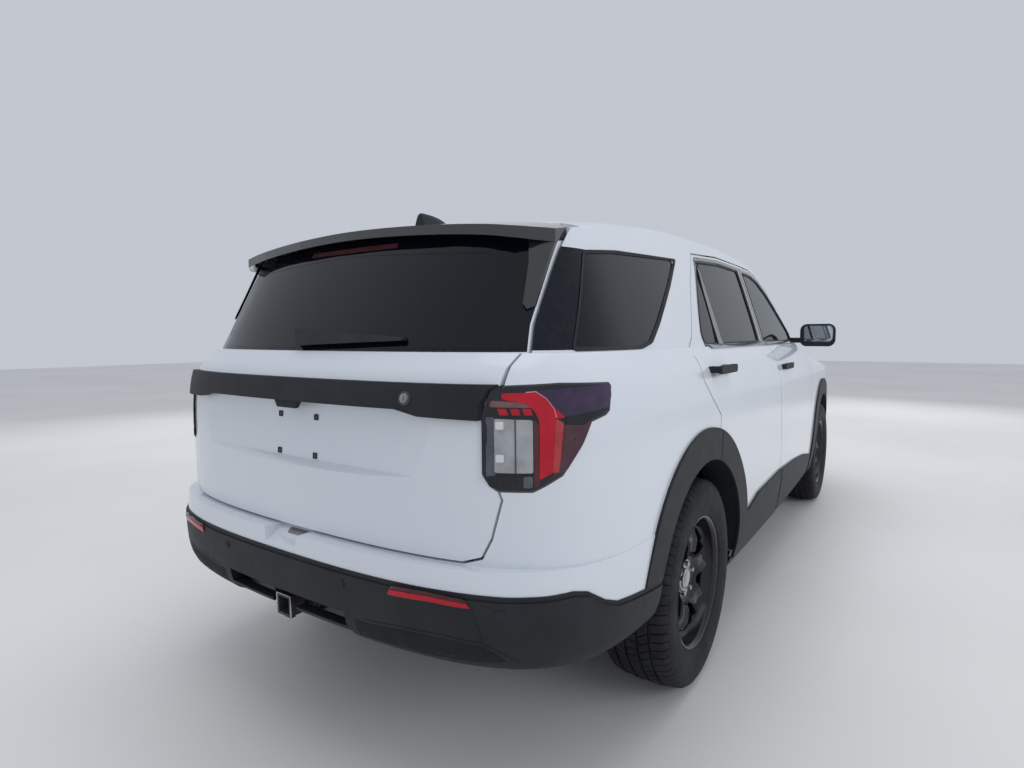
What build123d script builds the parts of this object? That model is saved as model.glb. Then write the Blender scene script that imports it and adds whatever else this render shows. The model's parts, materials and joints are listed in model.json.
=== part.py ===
"""Police sport utility vehicle, as an assembly of separate panels, glass, running gear and cabin pieces.

Frame: +X to the front, +Y to the left, +Z up; the origin is on the ground, midway along the vehicle.
Millimetres throughout. Side outlines are (x, z), rear and front outlines (y, z), plan outlines (x, y).
"""

from build123d import *
from math import cos, pi, sin, sqrt
import os

# ---------------------------------------------------------------- driving dimensions
overall_length = 5050.0
wheelbase = 3025.0
rear_overhang = 1095.0
track = 1700.0
body_half_width = 990.0       # over the door skins
roof_height = 1763.0
belt_height = 1245.0
glass_half_width = 882.0      # over the side glass at the belt
sill_height = 330.0           # bottom edge of the doors
rocker_bottom = 230.0

gap = 7.0                     # shut line between neighbouring panels
rebate = 16.0                 # extra setback of a door's inner part from its edge
hinge_setback = 45.0          # hinge axis behind the leading edge of a panel
hinge_depth = 12.0            # hinge axis below the outer surface
door_thickness = 120.0
frame_thickness = 42.0        # window frames, pillars and roof
door_skin = 10.0              # full-size outer layer of a door below the belt
frame_skin = 5.0              # the same above the belt
glass_thickness = 5.0
wing_thickness = 30.0         # fenders, hood and bumpers
gate_thickness = 90.0
moulding_height = 10.0        # how far the arch mouldings stand out

tyre_radius = 381.5
tyre_width = 255.0
rim_radius = 228.6            # bead seat of an 18 inch wheel
rim_width = 204.0
arch_radius = 455.0
arch_moulding_radius = 573.0
well_clearance = 12.0

# ---------------------------------------------------------------- derived stations
rear_end = -overall_length / 2
front_end = overall_length / 2
rear_axle_x = rear_end + rear_overhang
front_axle_x = rear_axle_x + wheelbase
axle_height = tyre_radius
wheel_y = track / 2
well_radius = arch_radius + well_clearance

b_gap_x = -145.5              # middle of the gap between the two doors
door_lead_x = 960.0
kingpin_y = wheel_y - 85

corner_rear_x = -1850.0       # where the rounded rear end meets the flank
corner_front_x = 1750.0       # where the rounded front end meets the flank
cowl_x = 1190.0
cowl_height = 1196.0
roof_rear_x = -2010.0

os.makedirs("parts", exist_ok=True)


def save(piece, name):
    """Label a finished piece and write its STEP file."""
    piece.part.label = name
    export_step(piece.part, f"parts/{name}.step")


# ---------------------------------------------------------------- body surfaces
# Height, half width relative to the door skins, rearmost x and foremost x of the lower body.
LOWER_LEVELS = [
    (rocker_bottom, -90, -2395, 2400),
    (sill_height, -34, -2440, 2462),
    (480, -6, -2456, 2500),
    (640, 2, -2464, 2524),
    (820, 0, -2470, 2512),
    (960, -4, -2472, 2492),
    (1070, -14, -2470, 2450),
    (1150, -32, -2458, 2388),
    (1205, -58, -2430, 2320),
    (belt_height, -92, -2400, 2250),
]

# Height, half width relative to the glass at the belt, and rearmost x of the greenhouse.
UPPER_LEVELS = [
    (1150, 30, -2448),
    (belt_height, 0, -2398),
    (1350, -32, -2338),
    (1450, -65, -2280),
    (1550, -99, -2222),
    (1650, -135, -2164),
    (1790, -190, -2084),
]

# Station, centre height of the hood surface.
HOOD_STATIONS = [
    (700, 1268), (950, 1232), (1200, 1196), (1500, 1182), (1850, 1152), (2150, 1108), (2350, 1050),
    (2480, 975), (2620, 850),
]

# Station, centre height and crown of the roof and windscreen surface.
ROOF_STATIONS = [
    (-2700, 1520, 38), (-2450, 1590, 38), (-2182, 1648, 38), (-2000, 1680, 36), (-1700, 1720, 28),
    (-1300, 1749, 18), (-800, 1762, 12), (-400, roof_height, 12), (-50, 1757, 14), (180, 1740, 18),
    (330, 1702, 24), (480, 1622, 32), (700, 1490, 38), (950, 1341, 38), (cowl_x, cowl_height, 38),
    (1500, 1010, 38),
]

# Height, half width relative to the door skins and rearmost x of the rear bumper.
REAR_BUMPER_LEVELS = [
    (415, -34, -2446), (445, -12, -2492), (520, 2, -2516), (600, 5, -2522), (660, 5, -2520), (694, 4, -2514),
]


def lower_outline(z, half_width, rear, front, inset):
    """Closed plan outline of the lower body at one height, moved inward by inset."""
    w = half_width - inset
    rear += inset
    front -= inset
    rear_w, front_w = w - 18, w - 25
    xr, xf = corner_rear_x, corner_front_x
    with BuildSketch(Plane.XY.offset(z), mode=Mode.PRIVATE) as level:
        with BuildLine():
            Bezier((rear, 0), (rear, 0.52 * w), (rear + 35, 0.945 * w), (xr - 380, rear_w - 12), (xr, rear_w))
            Bezier((xr, rear_w), (xr + 1200, rear_w + 36), (xf - 1100, front_w + 40), (xf, front_w))
            Bezier((xf, front_w), (xf + 330, front_w - 13), (front - 75, 0.93 * w), (front, 0.5 * w), (front, 0))
            mirror(about=Plane.XZ)
        make_face()
    return level.sketch


def upper_outline(z, half_width, rear, inset):
    """Closed plan outline of the greenhouse at one height, moved inward by inset."""
    w = half_width - inset
    rear += inset
    rear_w, front_w = w - 8, w - 34
    xr, xf = corner_rear_x, 1500.0
    with BuildSketch(Plane.XY.offset(z), mode=Mode.PRIVATE) as level:
        with BuildLine():
            Bezier((rear, 0), (rear, 0.56 * w), (rear + 55, 0.95 * w), (xr - 260, rear_w - 8), (xr, rear_w))
            Bezier((xr, rear_w), (xr + 1100, rear_w + 28), (xf - 1000, front_w + 40), (xf, front_w))
            Line((xf, front_w), (xf, 0))
            mirror(about=Plane.XZ)
        make_face()
    return level.sketch


def crowned_section(x, top, half_width, drop, shoulder, inset):
    """Closed cross section whose top is crowned and rounds over at half_width."""
    z = top - inset
    w = half_width - inset
    with BuildSketch(Plane.YZ.offset(x), mode=Mode.PRIVATE) as section:
        with BuildLine():
            Bezier((0, z), (0.45 * w, z), (0.85 * w, z - drop), (w - 4, z - drop - 0.12 * shoulder),
                   (w + 18, z - drop - shoulder), (w + 170, z - drop - 3.2 * shoulder))
            Line((w + 170, z - drop - 3.2 * shoulder), (w + 170, 0))
            Line((w + 170, 0), (0, 0))
            mirror(about=Plane.YZ)
        make_face()
    return section.sketch


def hood_limit(inset):
    """Everything below the hood surface, and all of the body behind it up to the belt."""
    with BuildPart(mode=Mode.PRIVATE) as limit:
        loft([crowned_section(x, z, 935 - 0.00004 * max(0, x - 1500) ** 2, 26, 75, inset)
              for x, z in HOOD_STATIONS])
        with Locations((-1000, 0, 650)):
            Box(3400, 2600, 1300)
    return limit.part


def roof_limit(inset):
    """Everything below the roof and windscreen surface."""
    with BuildPart(mode=Mode.PRIVATE) as limit:
        loft([crowned_section(x, z, 742, drop, 42, inset) for x, z, drop in ROOF_STATIONS])
    return limit.part


def lower_volume(inset, inset_top):
    """The lower body with its hood surface."""
    with BuildPart(mode=Mode.PRIVATE) as volume:
        loft([lower_outline(z, body_half_width + dw, r, f, inset) for z, dw, r, f in LOWER_LEVELS])
        add(hood_limit(inset_top), mode=Mode.INTERSECT)
    return volume.part


def upper_volume(inset, inset_top):
    """The greenhouse with its roof and windscreen."""
    with BuildPart(mode=Mode.PRIVATE) as volume:
        loft([upper_outline(z, glass_half_width + dw, r, inset) for z, dw, r in UPPER_LEVELS])
        add(roof_limit(inset_top), mode=Mode.INTERSECT)
    return volume.part


def body_volume(inset_low, inset_high, inset_top):
    """Everything inside the body's outer surface, moved inward by the three insets."""
    with BuildPart(mode=Mode.PRIVATE) as volume:
        add(lower_volume(inset_low, inset_top))
        add(upper_volume(inset_high, inset_top))
    return volume.part


def rear_bumper_volume(inset):
    """The rear bumper, which stands out behind the body."""
    with BuildPart(mode=Mode.PRIVATE) as volume:
        loft([lower_outline(z, body_half_width + dw, r, 2400, inset) for z, dw, r in REAR_BUMPER_LEVELS])
        with Locations((1000, 0, 550)):
            Box(5400, 2400, 1000, mode=Mode.SUBTRACT)
    return volume.part


# ---------------------------------------------------------------- cutting tools
def outline(plane, points, radius=0.0, grow=0.0):
    """Closed outline with rounded corners, grown outward or shrunk inward."""
    with BuildSketch(plane, mode=Mode.PRIVATE) as shape:
        with BuildLine():
            Polyline(*points, close=True)
        make_face()
        if radius:
            fillet(shape.vertices(), radius)
        if grow:
            offset(amount=grow, kind=Kind.INTERSECTION)
    return shape.sketch


def side_prism(points, radius=0.0, grow=0.0, start=500.0, length=700.0):
    """Prism of a side outline (x, z), over the right side of the body."""
    with BuildPart(mode=Mode.PRIVATE) as prism:
        extrude(outline(Plane.XZ.offset(start), points, radius, grow), amount=length)
    return prism.part


def cross_prism(points, radius=0.0, grow=0.0, width=2400.0):
    """Prism of a side outline (x, z), over the whole width."""
    return side_prism(points, radius, grow, -width / 2, width)


def rear_prism(points, radius=0.0, grow=0.0, start=-2700.0, length=760.0):
    """Prism of a rear or front outline (y, z) along X."""
    with BuildPart(mode=Mode.PRIVATE) as prism:
        extrude(outline(Plane.YZ.offset(start), points, radius, grow), amount=length)
    return prism.part


def plan_prism(points, radius=0.0, grow=0.0, start=900.0, length=1000.0):
    """Prism of a plan outline (x, y) along Z."""
    with BuildPart(mode=Mode.PRIVATE) as prism:
        extrude(outline(Plane.XY.offset(start), points, radius, grow), amount=length)
    return prism.part


def wheel_prism(x, radius, start=500.0, length=700.0, inner=0.0):
    """Disc or ring about a wheel's axis, over the right side of the body."""
    with BuildPart(mode=Mode.PRIVATE) as prism:
        with BuildSketch(Plane.XZ.offset(start)):
            with Locations((x, axle_height)):
                Circle(radius)
                if inner:
                    Circle(inner, mode=Mode.SUBTRACT)
        extrude(amount=length)
    return prism.part


def both_halves(points):
    """Rear or front outline given for y >= 0, closed over the centreline."""
    return points + [(-y, z) for y, z in reversed(points) if y > 0]


def both_flanks(points):
    """Plan outline given for y >= 0, closed over the centreline."""
    return points + [(x, -y) for x, y in reversed(points) if y > 0]


def span_box(x, y, z, mode=Mode.ADD):
    """Box between the two values given for each axis."""
    with Locations(((x[0] + x[1]) / 2, (y[0] + y[1]) / 2, (z[0] + z[1]) / 2)):
        Box(x[1] - x[0], y[1] - y[0], z[1] - z[0], mode=mode)


def rod(start, end, radius, mode=Mode.ADD):
    """Round bar from one point to another."""
    path = Vector(*end) - Vector(*start)
    with Locations(Plane(origin=start, z_dir=path)):
        Cylinder(radius, path.length, align=(Align.CENTER, Align.CENTER, Align.MIN), mode=mode)


# ---------------------------------------------------------------- panel outlines
roof_line = 1668.0            # top edge of the doors

FRONT_DOOR = [
    (b_gap_x + gap / 2, sill_height), (b_gap_x + gap / 2, roof_line), (100, 1664), (250, 1640), (420, 1565),
    (600, 1455), (800, 1330), (930, 1240), (door_lead_x, 1185), (door_lead_x, sill_height),
]
REAR_DOOR = [
    (b_gap_x - gap / 2, sill_height), (b_gap_x - gap / 2, roof_line), (-560, roof_line), (-960, 1642),
    (-1110, 1500), (-1296, 1279), (-1398, 1215), (-1404, 1124), (-1336, 1053), (-1251, 985), (-1310, 700),
    (-1310, sill_height),
]
FRONT_WINDOW = [
    (-95, 1254), (-95, 1632), (100, 1628), (236, 1602), (405, 1530), (585, 1418), (765, 1303), (790, 1252),
]
REAR_WINDOW = [
    (-222, 1256), (-208, 1634), (-560, 1634), (-922, 1613), (-1000, 1530), (-1095, 1410), (-1146, 1336),
    (-1166, 1296), (-1160, 1268), (-1128, 1252),
]
QUARTER_WINDOW = [
    (-1215, 1592), (-1376, 1475), (-1590, 1333), (-1700, 1268), (-1790, 1251), (-2141, 1251), (-1988, 1540),
    (-1775, 1562),
]
REAR_PILLAR_PANEL = [(-1930, 1546), (-2100, 1251), (-2330, 1251), (-2140, 1550)]

GATE = [
    (0, 700), (640, 702), (690, 718), (715, 770), (740, 872), (733, 893), (713, 908), (701, 938), (695, 1077),
    (698, 1120), (710, 1152), (725, 1164), (727, 1205), (740, 1244), (729, 1320), (729, 1553), (724, 1600),
    (724, 1720), (0, 1800),
]
GATE_GLASS = [
    (0, 1247), (737, 1247), (726, 1320), (726, 1553), (721, 1598), (640, 1608), (0, 1630),
]
GATE_WINDOW = [(0, 1296), (625, 1296), (600, 1530), (0, 1560)]

ROOF_PANEL = [(roof_rear_x, 0), (roof_rear_x, 662), (-1300, 672), (-400, 672), (120, 660), (262, 640), (290, 0)]
WINDSCREEN = [(302, 0), (274, 646), (430, 668), (700, 690), (1000, 712), (1085, 716), (1105, 0)]
HOOD_EDGE = [(1500, 806), (1900, 790), (2160, 762), (2285, 690), (2362, 450), (2388, 0)]
HOOD = [(1165, 0), (1150, 500), (1110, 798)] + HOOD_EDGE

# Tail lamp seen square to the rear corner: distance along the corner, and height.
TAIL_LAMP = [
    (-1180, 1163), (-1210, 1090), (-1210, 936), (-1190, 905), (-1159, 893), (-1078, 893), (-1046, 908),
    (-1000, 933), (-980, 960), (-934, 1045), (-921, 1064), (-867, 1079), (-853, 1090), (-840, 1156),
    (-848, 1165), (-1000, 1170),
]
BUMPER_SEAM = [(-2126, 1077), (-2101, 1006), (-2041, 941), (-1972, 884), (-1900, 855), (-1740, 832)]
CLADDING_TOP = [
    (-2600, 641), (-2470, 638), (-2403, 633), (-2336, 632), (-2277, 635), (-2239, 626), (-2180, 588),
    (-2128, 568), (-1900, 543),
]

# ---------------------------------------------------------------- volumes that the panels are cut from
surface = body_volume(0, 0, 0)
skin_inside = body_volume(door_skin, frame_skin, frame_skin)
glass_inside = body_volume(door_skin + glass_thickness, frame_skin + glass_thickness,
                           frame_skin + glass_thickness)
lining = body_volume(door_thickness, frame_thickness, frame_thickness)
gate_lining = body_volume(gate_thickness, frame_thickness, frame_thickness)
wing_inside = body_volume(wing_thickness, wing_thickness, wing_thickness)
moulding_surface = lower_volume(-moulding_height, 0)

gate_opening = rear_prism(both_halves(GATE), grow=gap)
spoiler_front_x = roof_rear_x - gap

with BuildPart() as shell_maker:
    add(surface)
    add(lining, mode=Mode.SUBTRACT)
    span_box((-3000, 3000), (0, 1500), (0, 2000), mode=Mode.SUBTRACT)
right_shell = shell_maker.part


# ---------------------------------------------------------------- doors
def door_panel(points, window, centre_x):
    """Right-hand door with its window frame, its inner part set back from the shut lines."""
    with BuildPart(mode=Mode.PRIVATE) as door:
        add(surface)
        add(side_prism(points), mode=Mode.INTERSECT)
        add(lining, mode=Mode.SUBTRACT)
        add(wheel_prism(centre_x, well_radius), mode=Mode.SUBTRACT)
        add(side_prism(window, radius=12), mode=Mode.SUBTRACT)
    return door.part


def door_rebate(points, centre_x, pillar_x):
    """What is cut away from the inside of a door along its edges, and over the middle pillar."""
    with BuildPart(mode=Mode.PRIVATE) as ring:
        add(side_prism(points, grow=5))
        add(side_prism(points, grow=-rebate), mode=Mode.SUBTRACT)
        add(wheel_prism(centre_x, well_radius + rebate))
        span_box(pillar_x, (-1200, -500), (0, 1262))
        add(skin_inside, mode=Mode.INTERSECT)
    return ring.part


def door_glass(window):
    with BuildPart(mode=Mode.PRIVATE) as glass:
        add(skin_inside)
        add(side_prism(window, radius=12), mode=Mode.INTERSECT)
        add(glass_inside, mode=Mode.SUBTRACT)
    return glass.part


pillar_front_x = -80.0
pillar_rear_x = -140.0
pillar_clearance = 8.0

front_door_solid = door_panel(FRONT_DOOR, FRONT_WINDOW, front_axle_x)
front_door_rebate = door_rebate(FRONT_DOOR, front_axle_x, (b_gap_x, pillar_front_x + pillar_clearance))
rear_door_solid = door_panel(REAR_DOOR, REAR_WINDOW, rear_axle_x)
rear_door_rebate = door_rebate(REAR_DOOR, rear_axle_x, (b_gap_x - gap - rebate, b_gap_x))

with BuildPart() as front_door:
    add(front_door_solid)
    add(front_door_rebate, mode=Mode.SUBTRACT)

with BuildPart() as rear_door:
    add(rear_door_solid)
    add(rear_door_rebate, mode=Mode.SUBTRACT)

with BuildPart() as front_door_glass:
    add(door_glass(FRONT_WINDOW))

with BuildPart() as rear_door_glass:
    add(door_glass(REAR_WINDOW))

for side, name in ((1, "right"), (-1, "left")):
    for kind, piece in (("front", front_door), ("rear", rear_door)):
        with BuildPart() as door:
            add(piece.part if side > 0 else mirror(piece.part, about=Plane.XZ))
        save(door, f"door_{kind}_{name}")
    for kind, piece in (("front", front_door_glass), ("rear", rear_door_glass)):
        with BuildPart() as glass:
            add(piece.part if side > 0 else mirror(piece.part, about=Plane.XZ))
        save(glass, f"glass_{kind}_{name}")

# ---------------------------------------------------------------- more outlines
HOOD_OPENING = [(900, 0), (900, 798), (1110, 798)] + HOOD_EDGE
GATE_SIDE = [
    (-2600, 600), (-2290, 600), (-2240, 1180), (-2150, 1262), (-2030, 1570), (spoiler_front_x, 1600),
    (spoiler_front_x, 1800), (-2600, 1800),
]
SPOILER = [
    (spoiler_front_x, 0), (spoiler_front_x, 727), (-2085, 728), (-2150, 690), (-2187, 640), (-2204, 500),
    (-2224, 250), (-2230, 0),
]
SIDE_FIN = [(727, 1640), (727, 1372), (713, 1364), (700, 1380), (684, 1500), (650, 1640)]
GATE_BAR = [
    (0, 1097), (455, 1097), (530, 1081), (695, 1077), (698, 1120), (709, 1151), (724, 1163), (722, 1167),
    (0, 1167),
]
BAR_HANDLE = [(66, 1105), (44, 1074), (-44, 1074), (-66, 1105)]
PLATE_SCOOP = [(-2600, 1100), (-2432, 1100), (-2446, 915), (-2474, 893), (-2600, 893)]

WIPER = [(88, 1318), (-59, 1312), (-221, 1298), (-397, 1288), (-397, 1279), (-33, 1266), (44, 1262)]

HEADLAMP = [
    (1345, 985), (1335, 890), (1290, 862), (1010, 880), (905, 905), (866, 975), (872, 1006), (1000, 1014),
    (1250, 1006),
]
GRILLE = [(0, 1000), (545, 992), (572, 960), (566, 820), (505, 722), (0, 700)]
BUMPER_FRONT_SEAM = [(2078, 150), (2078, 840), (2125, 866), (2230, 1040), (2700, 1040), (2700, 150)]

FRONT_DOOR_STRIP = [(-134, 342), (-134, 568), (300, 548), (640, 517), (900, 478), (940, 452), (922, 342)]
REAR_DOOR_STRIP = [(-157, 342), (-157, 571), (-657, 556), (-870, 510), (-1100, 460), (-1100, 342)]

lower_skin = lower_volume(0, 0)
lower_wing_inside = lower_volume(wing_thickness, wing_thickness)
hood_inside = lower_volume(0, wing_thickness)
hood_opening = plan_prism(both_flanks(HOOD_OPENING), grow=gap)
lamp_thickness = 40.0
lamp_inside = lower_volume(lamp_thickness, 0)


def corner_prism(points, front, radius=8.0):
    """Prism of an outline seen square to a right-hand corner of the body."""
    ahead = 1 if front else -1
    plane = Plane(origin=(0, 0, 0), x_dir=(1, ahead, 0), z_dir=(ahead, -1, 0))
    with BuildPart(mode=Mode.PRIVATE) as prism:
        extrude(outline(plane.offset(1700), points, radius), amount=900)
    return prism.part


# ---------------------------------------------------------------- rear end
BUMPER_REGION = [(-2700, 150), (-2700, 1077)] + BUMPER_SEAM + [(-1740, 150)]
CLADDING_REGION = CLADDING_TOP + [(-1740, 530), (-1740, 150), (-2600, 150)]
cladding_step = 3.0
cladding_ledge = 5.0          # extra that the cladding's face stands out below its top strip
cladding_ledge_drop = 14.0    # height of that top strip
hitch_slot_half = 290.0       # slot in the cladding that the hitch stands in
hitch_slot_bottom = 466.0
hitch_slot_top = 512.0
hitch_lip = 13.0              # height of the strip below the slot
hitch_notch_half = 60.0
bumper_ledge_bottom = 664.0    # underside of the bumper's top ledge
ledge_notch_half = 84.0       # step cut into that ledge below the gate's catch
LEDGE_NOTCH = [(-2440, 692), (-2530, 646), (-2600, 646), (-2600, 720), (-2440, 720)]
REFLECTOR = [(-697, 602), (-681, 625), (-585, 632), (-473, 630), (-456, 603), (-589, 607)]
plate_pitch_y = 178.0
plate_pitch_z = 118.0
plate_hole_radius = 3.0
plate_hole_end_x = -2395.0
plate_height = 986.0

with BuildPart() as right_tail_lamp:
    add(lower_skin)
    add(corner_prism(TAIL_LAMP, front=False), mode=Mode.INTERSECT)
    add(lamp_inside, mode=Mode.SUBTRACT)
    add(gate_opening, mode=Mode.SUBTRACT)

rear_bumper_inside = rear_bumper_volume(wing_thickness)
cladding_region = cross_prism(CLADDING_REGION)
rear_arch_ring = wheel_prism(rear_axle_x, arch_moulding_radius)

with BuildPart() as bumper_hollow:
    add(rear_bumper_inside)
    span_box((-2600, -1700), (-1200, 1200), (bumper_ledge_bottom, 800), mode=Mode.SUBTRACT)
    span_box((-2600, -1700), (-ledge_notch_half - 16, ledge_notch_half + 16), (600, 800), mode=Mode.SUBTRACT)

with BuildPart() as ledge_notch:
    add(cross_prism(LEDGE_NOTCH))
    add(rear_prism([(-ledge_notch_half, 700), (ledge_notch_half, 700), (ledge_notch_half - 14, 640),
                    (14 - ledge_notch_half, 640)]), mode=Mode.INTERSECT)

with BuildPart() as right_bumper:
    add(rear_bumper_volume(0))
    add(rear_arch_ring, mode=Mode.SUBTRACT)
    add(lower_skin)
    add(cross_prism(BUMPER_REGION), mode=Mode.INTERSECT)
    add(lower_wing_inside, mode=Mode.SUBTRACT)
    span_box((-2600, -1700), (0, 1200), (0, 1500), mode=Mode.SUBTRACT)
    add(bumper_hollow.part, mode=Mode.SUBTRACT)
    add(gate_opening, mode=Mode.SUBTRACT)
    add(right_tail_lamp.part, mode=Mode.SUBTRACT)
    add(wheel_prism(rear_axle_x, well_radius), mode=Mode.SUBTRACT)

with BuildPart() as rear_bumper:
    add(right_bumper.part)
    add(cladding_region, mode=Mode.SUBTRACT)
    mirror(about=Plane.XZ)
    add(ledge_notch.part, mode=Mode.SUBTRACT)
save(rear_bumper, "rear_bumper")

with BuildPart() as cladding_face:
    add(rear_bumper_volume(-cladding_step - cladding_ledge))
    add(cross_prism([(x, z - cladding_ledge_drop) for x, z in CLADDING_REGION]), mode=Mode.INTERSECT)

with BuildPart() as rear_bumper_cladding:
    add(rear_bumper_volume(-cladding_step))
    add(cladding_face.part)
    add(rear_bumper_volume(wing_thickness - cladding_step), mode=Mode.SUBTRACT)
    add(cladding_region, mode=Mode.INTERSECT)
    span_box((-2600, -2380), (-hitch_slot_half, hitch_slot_half), (hitch_slot_bottom, hitch_slot_top),
             mode=Mode.SUBTRACT)
    span_box((-2600, -2380), (-hitch_slot_half - 12, hitch_slot_half + 12), (380, hitch_slot_bottom - hitch_lip),
             mode=Mode.SUBTRACT)
    span_box((-2600, -2380), (-hitch_notch_half, hitch_notch_half), (380, hitch_slot_top),
             mode=Mode.SUBTRACT)
    add(wheel_prism(rear_axle_x, arch_radius, -1200, 2400), mode=Mode.SUBTRACT)
save(rear_bumper_cladding, "rear_bumper_cladding")

with BuildPart() as reflector:
    add(rear_bumper_volume(-cladding_step - cladding_ledge - 2))
    add(rear_bumper_cladding.part, mode=Mode.SUBTRACT)
    add(rear_bumper_volume(-cladding_step), mode=Mode.SUBTRACT)
    add(rear_prism(REFLECTOR, radius=5), mode=Mode.INTERSECT)

with BuildPart() as tail_lamps:
    add(right_tail_lamp.part)
    add(reflector.part)
    mirror(about=Plane.XZ)
save(tail_lamps, "tail_lamps")

receiver_half = 32.0
receiver_bore_half = 25.4
receiver_z = 456.0
receiver_end_x = -2512.0
hitch_bar_length = 1090.0
hitch_pin_radius = 8.0
hitch_pin_x = receiver_end_x + 62
with BuildPart() as hitch_receiver:
    span_box((receiver_end_x, -2200), (-receiver_half, receiver_half),
             (receiver_z - receiver_half, receiver_z + receiver_half))
    span_box((receiver_end_x, receiver_end_x + 16), (-receiver_half - 3, receiver_half + 3),
             (receiver_z - receiver_half - 3, receiver_z + receiver_half + 3))
    with Locations((-2290, 0, receiver_z)):
        Box(80, hitch_bar_length, 70)
    for loop_y in (-75, 75):
        span_box((-2440, -2250), (loop_y - 5, loop_y + 5), (receiver_z - 45, receiver_z - 5))
        span_box((-2420, -2385), (loop_y - 6, loop_y + 6), (receiver_z - 36, receiver_z - 14),
                 mode=Mode.SUBTRACT)
    span_box((receiver_end_x - 1, -2240), (-receiver_bore_half, receiver_bore_half),
             (receiver_z - receiver_bore_half, receiver_z + receiver_bore_half), mode=Mode.SUBTRACT)
    with Locations(Location((hitch_pin_x, 0, receiver_z), (90, 0, 0))):
        Cylinder(hitch_pin_radius, 120, mode=Mode.SUBTRACT)
save(hitch_receiver, "hitch_receiver")

# ---------------------------------------------------------------- body sides, roof and fixed glass
pillar_face = body_volume(door_skin + 8, frame_thickness + 10, frame_thickness + 10)
pillar_back = body_volume(door_thickness + 15, 90, 90)
windscreen_prism = plan_prism(both_flanks(WINDSCREEN), start=1150)
roof_prism = plan_prism(both_flanks(ROOF_PANEL), start=1500)
pillar_panel_recess = 10.0

pillar_top = 1712.0
pillar_reach_y = 580.0

with BuildPart() as pillar_span:
    span_box((pillar_rear_x, pillar_front_x), (-1200, -500), (sill_height - gap, 1262))
    span_box((-190, -90), (-1200, -pillar_reach_y), (1250, pillar_top))

with BuildPart() as pillar_head:
    add(lining)
    span_box((-190, -90), (-800, -pillar_reach_y), (roof_line + gap + 2, pillar_top), mode=Mode.INTERSECT)

with BuildPart() as middle_pillar:
    add(pillar_face)
    add(pillar_span.part, mode=Mode.INTERSECT)
    add(pillar_head.part)
    add(pillar_back, mode=Mode.SUBTRACT)

with BuildPart() as right_body_side:
    add(right_shell)
    add(side_prism(FRONT_DOOR, grow=gap), mode=Mode.SUBTRACT)
    add(side_prism(REAR_DOOR, grow=gap), mode=Mode.SUBTRACT)
    add(side_prism(QUARTER_WINDOW, radius=14), mode=Mode.SUBTRACT)
    add(wheel_prism(rear_axle_x, well_radius), mode=Mode.SUBTRACT)
    add(cross_prism(BUMPER_REGION), mode=Mode.SUBTRACT)
    add(right_tail_lamp.part, mode=Mode.SUBTRACT)
    span_box((-2700, roof_rear_x), (-737, 10), (0, 1900), mode=Mode.SUBTRACT)
    span_box((-3000, 3000), (-1200, 10), (0, sill_height - gap), mode=Mode.SUBTRACT)
    span_box((door_lead_x + gap, 3000), (-1200, 10), (0, 1140), mode=Mode.SUBTRACT)
    span_box((1128, 3000), (-1200, 10), (0, 1400), mode=Mode.SUBTRACT)
    span_box((1105, 3000), (-716, 10), (0, 1400), mode=Mode.SUBTRACT)
    add(windscreen_prism, mode=Mode.SUBTRACT)
    add(roof_prism, mode=Mode.SUBTRACT)

with BuildPart() as front_lower_cut:
    add(lower_skin)
    span_box((door_lead_x + gap, 3000), (-1200, 1200), (0, 1400), mode=Mode.INTERSECT)

with BuildPart() as pillar_panel:
    add(surface)
    add(side_prism(REAR_PILLAR_PANEL), mode=Mode.INTERSECT)
    add(side_prism(QUARTER_WINDOW, radius=14), mode=Mode.SUBTRACT)
    add(body_volume(door_skin, pillar_panel_recess, pillar_panel_recess), mode=Mode.SUBTRACT)
    add(rear_prism(both_halves(GATE), grow=gap), mode=Mode.SUBTRACT)

with BuildPart() as body_side_right:
    add(right_body_side.part)
    add(front_lower_cut.part, mode=Mode.SUBTRACT)
    add(plan_prism(both_flanks(HOOD), grow=gap), mode=Mode.SUBTRACT)
    add(pillar_panel.part, mode=Mode.SUBTRACT)
    add(gate_opening, mode=Mode.SUBTRACT)
    add(middle_pillar.part)
save(body_side_right, "body_side_right")

fuel_x = -1830.0
fuel_z = 1010.0
fuel_half = 85.0
fuel_hinge_setback = 20.0
FUEL_DOOR = [
    (fuel_x - fuel_half, fuel_z - fuel_half), (fuel_x + fuel_half, fuel_z - fuel_half),
    (fuel_x + fuel_half, fuel_z + fuel_half), (fuel_x - fuel_half, fuel_z + fuel_half),
]
with BuildPart() as body_side_left:
    mirror(body_side_right.part, about=Plane.XZ)
    add(side_prism(FUEL_DOOR, radius=25, grow=gap, start=-1100, length=205), mode=Mode.SUBTRACT)
save(body_side_left, "body_side_left")

with BuildPart() as fuel_door:
    add(surface)
    add(side_prism(FUEL_DOOR, radius=25, start=-1100, length=205), mode=Mode.INTERSECT)
    add(skin_inside, mode=Mode.SUBTRACT)
save(fuel_door, "fuel_door")

with BuildPart() as roof_panel:
    add(surface)
    add(roof_prism, mode=Mode.INTERSECT)
    add(lining, mode=Mode.SUBTRACT)
save(roof_panel, "roof_panel")

with BuildPart() as right_fixed_glass:
    add(skin_inside)
    add(side_prism(QUARTER_WINDOW, radius=14), mode=Mode.INTERSECT)
    add(glass_inside, mode=Mode.SUBTRACT)
    add(pillar_panel.part)

with BuildPart() as windscreen:
    add(surface)
    add(windscreen_prism, mode=Mode.INTERSECT)
    add(skin_inside, mode=Mode.SUBTRACT)
    span_box((1105, 1600), (-1200, 1200), (900, 1500), mode=Mode.SUBTRACT)
save(windscreen, "windscreen")

with BuildPart() as fixed_glass:
    add(right_fixed_glass.part)
    mirror(about=Plane.XZ)
save(fixed_glass, "fixed_glass")

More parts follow.
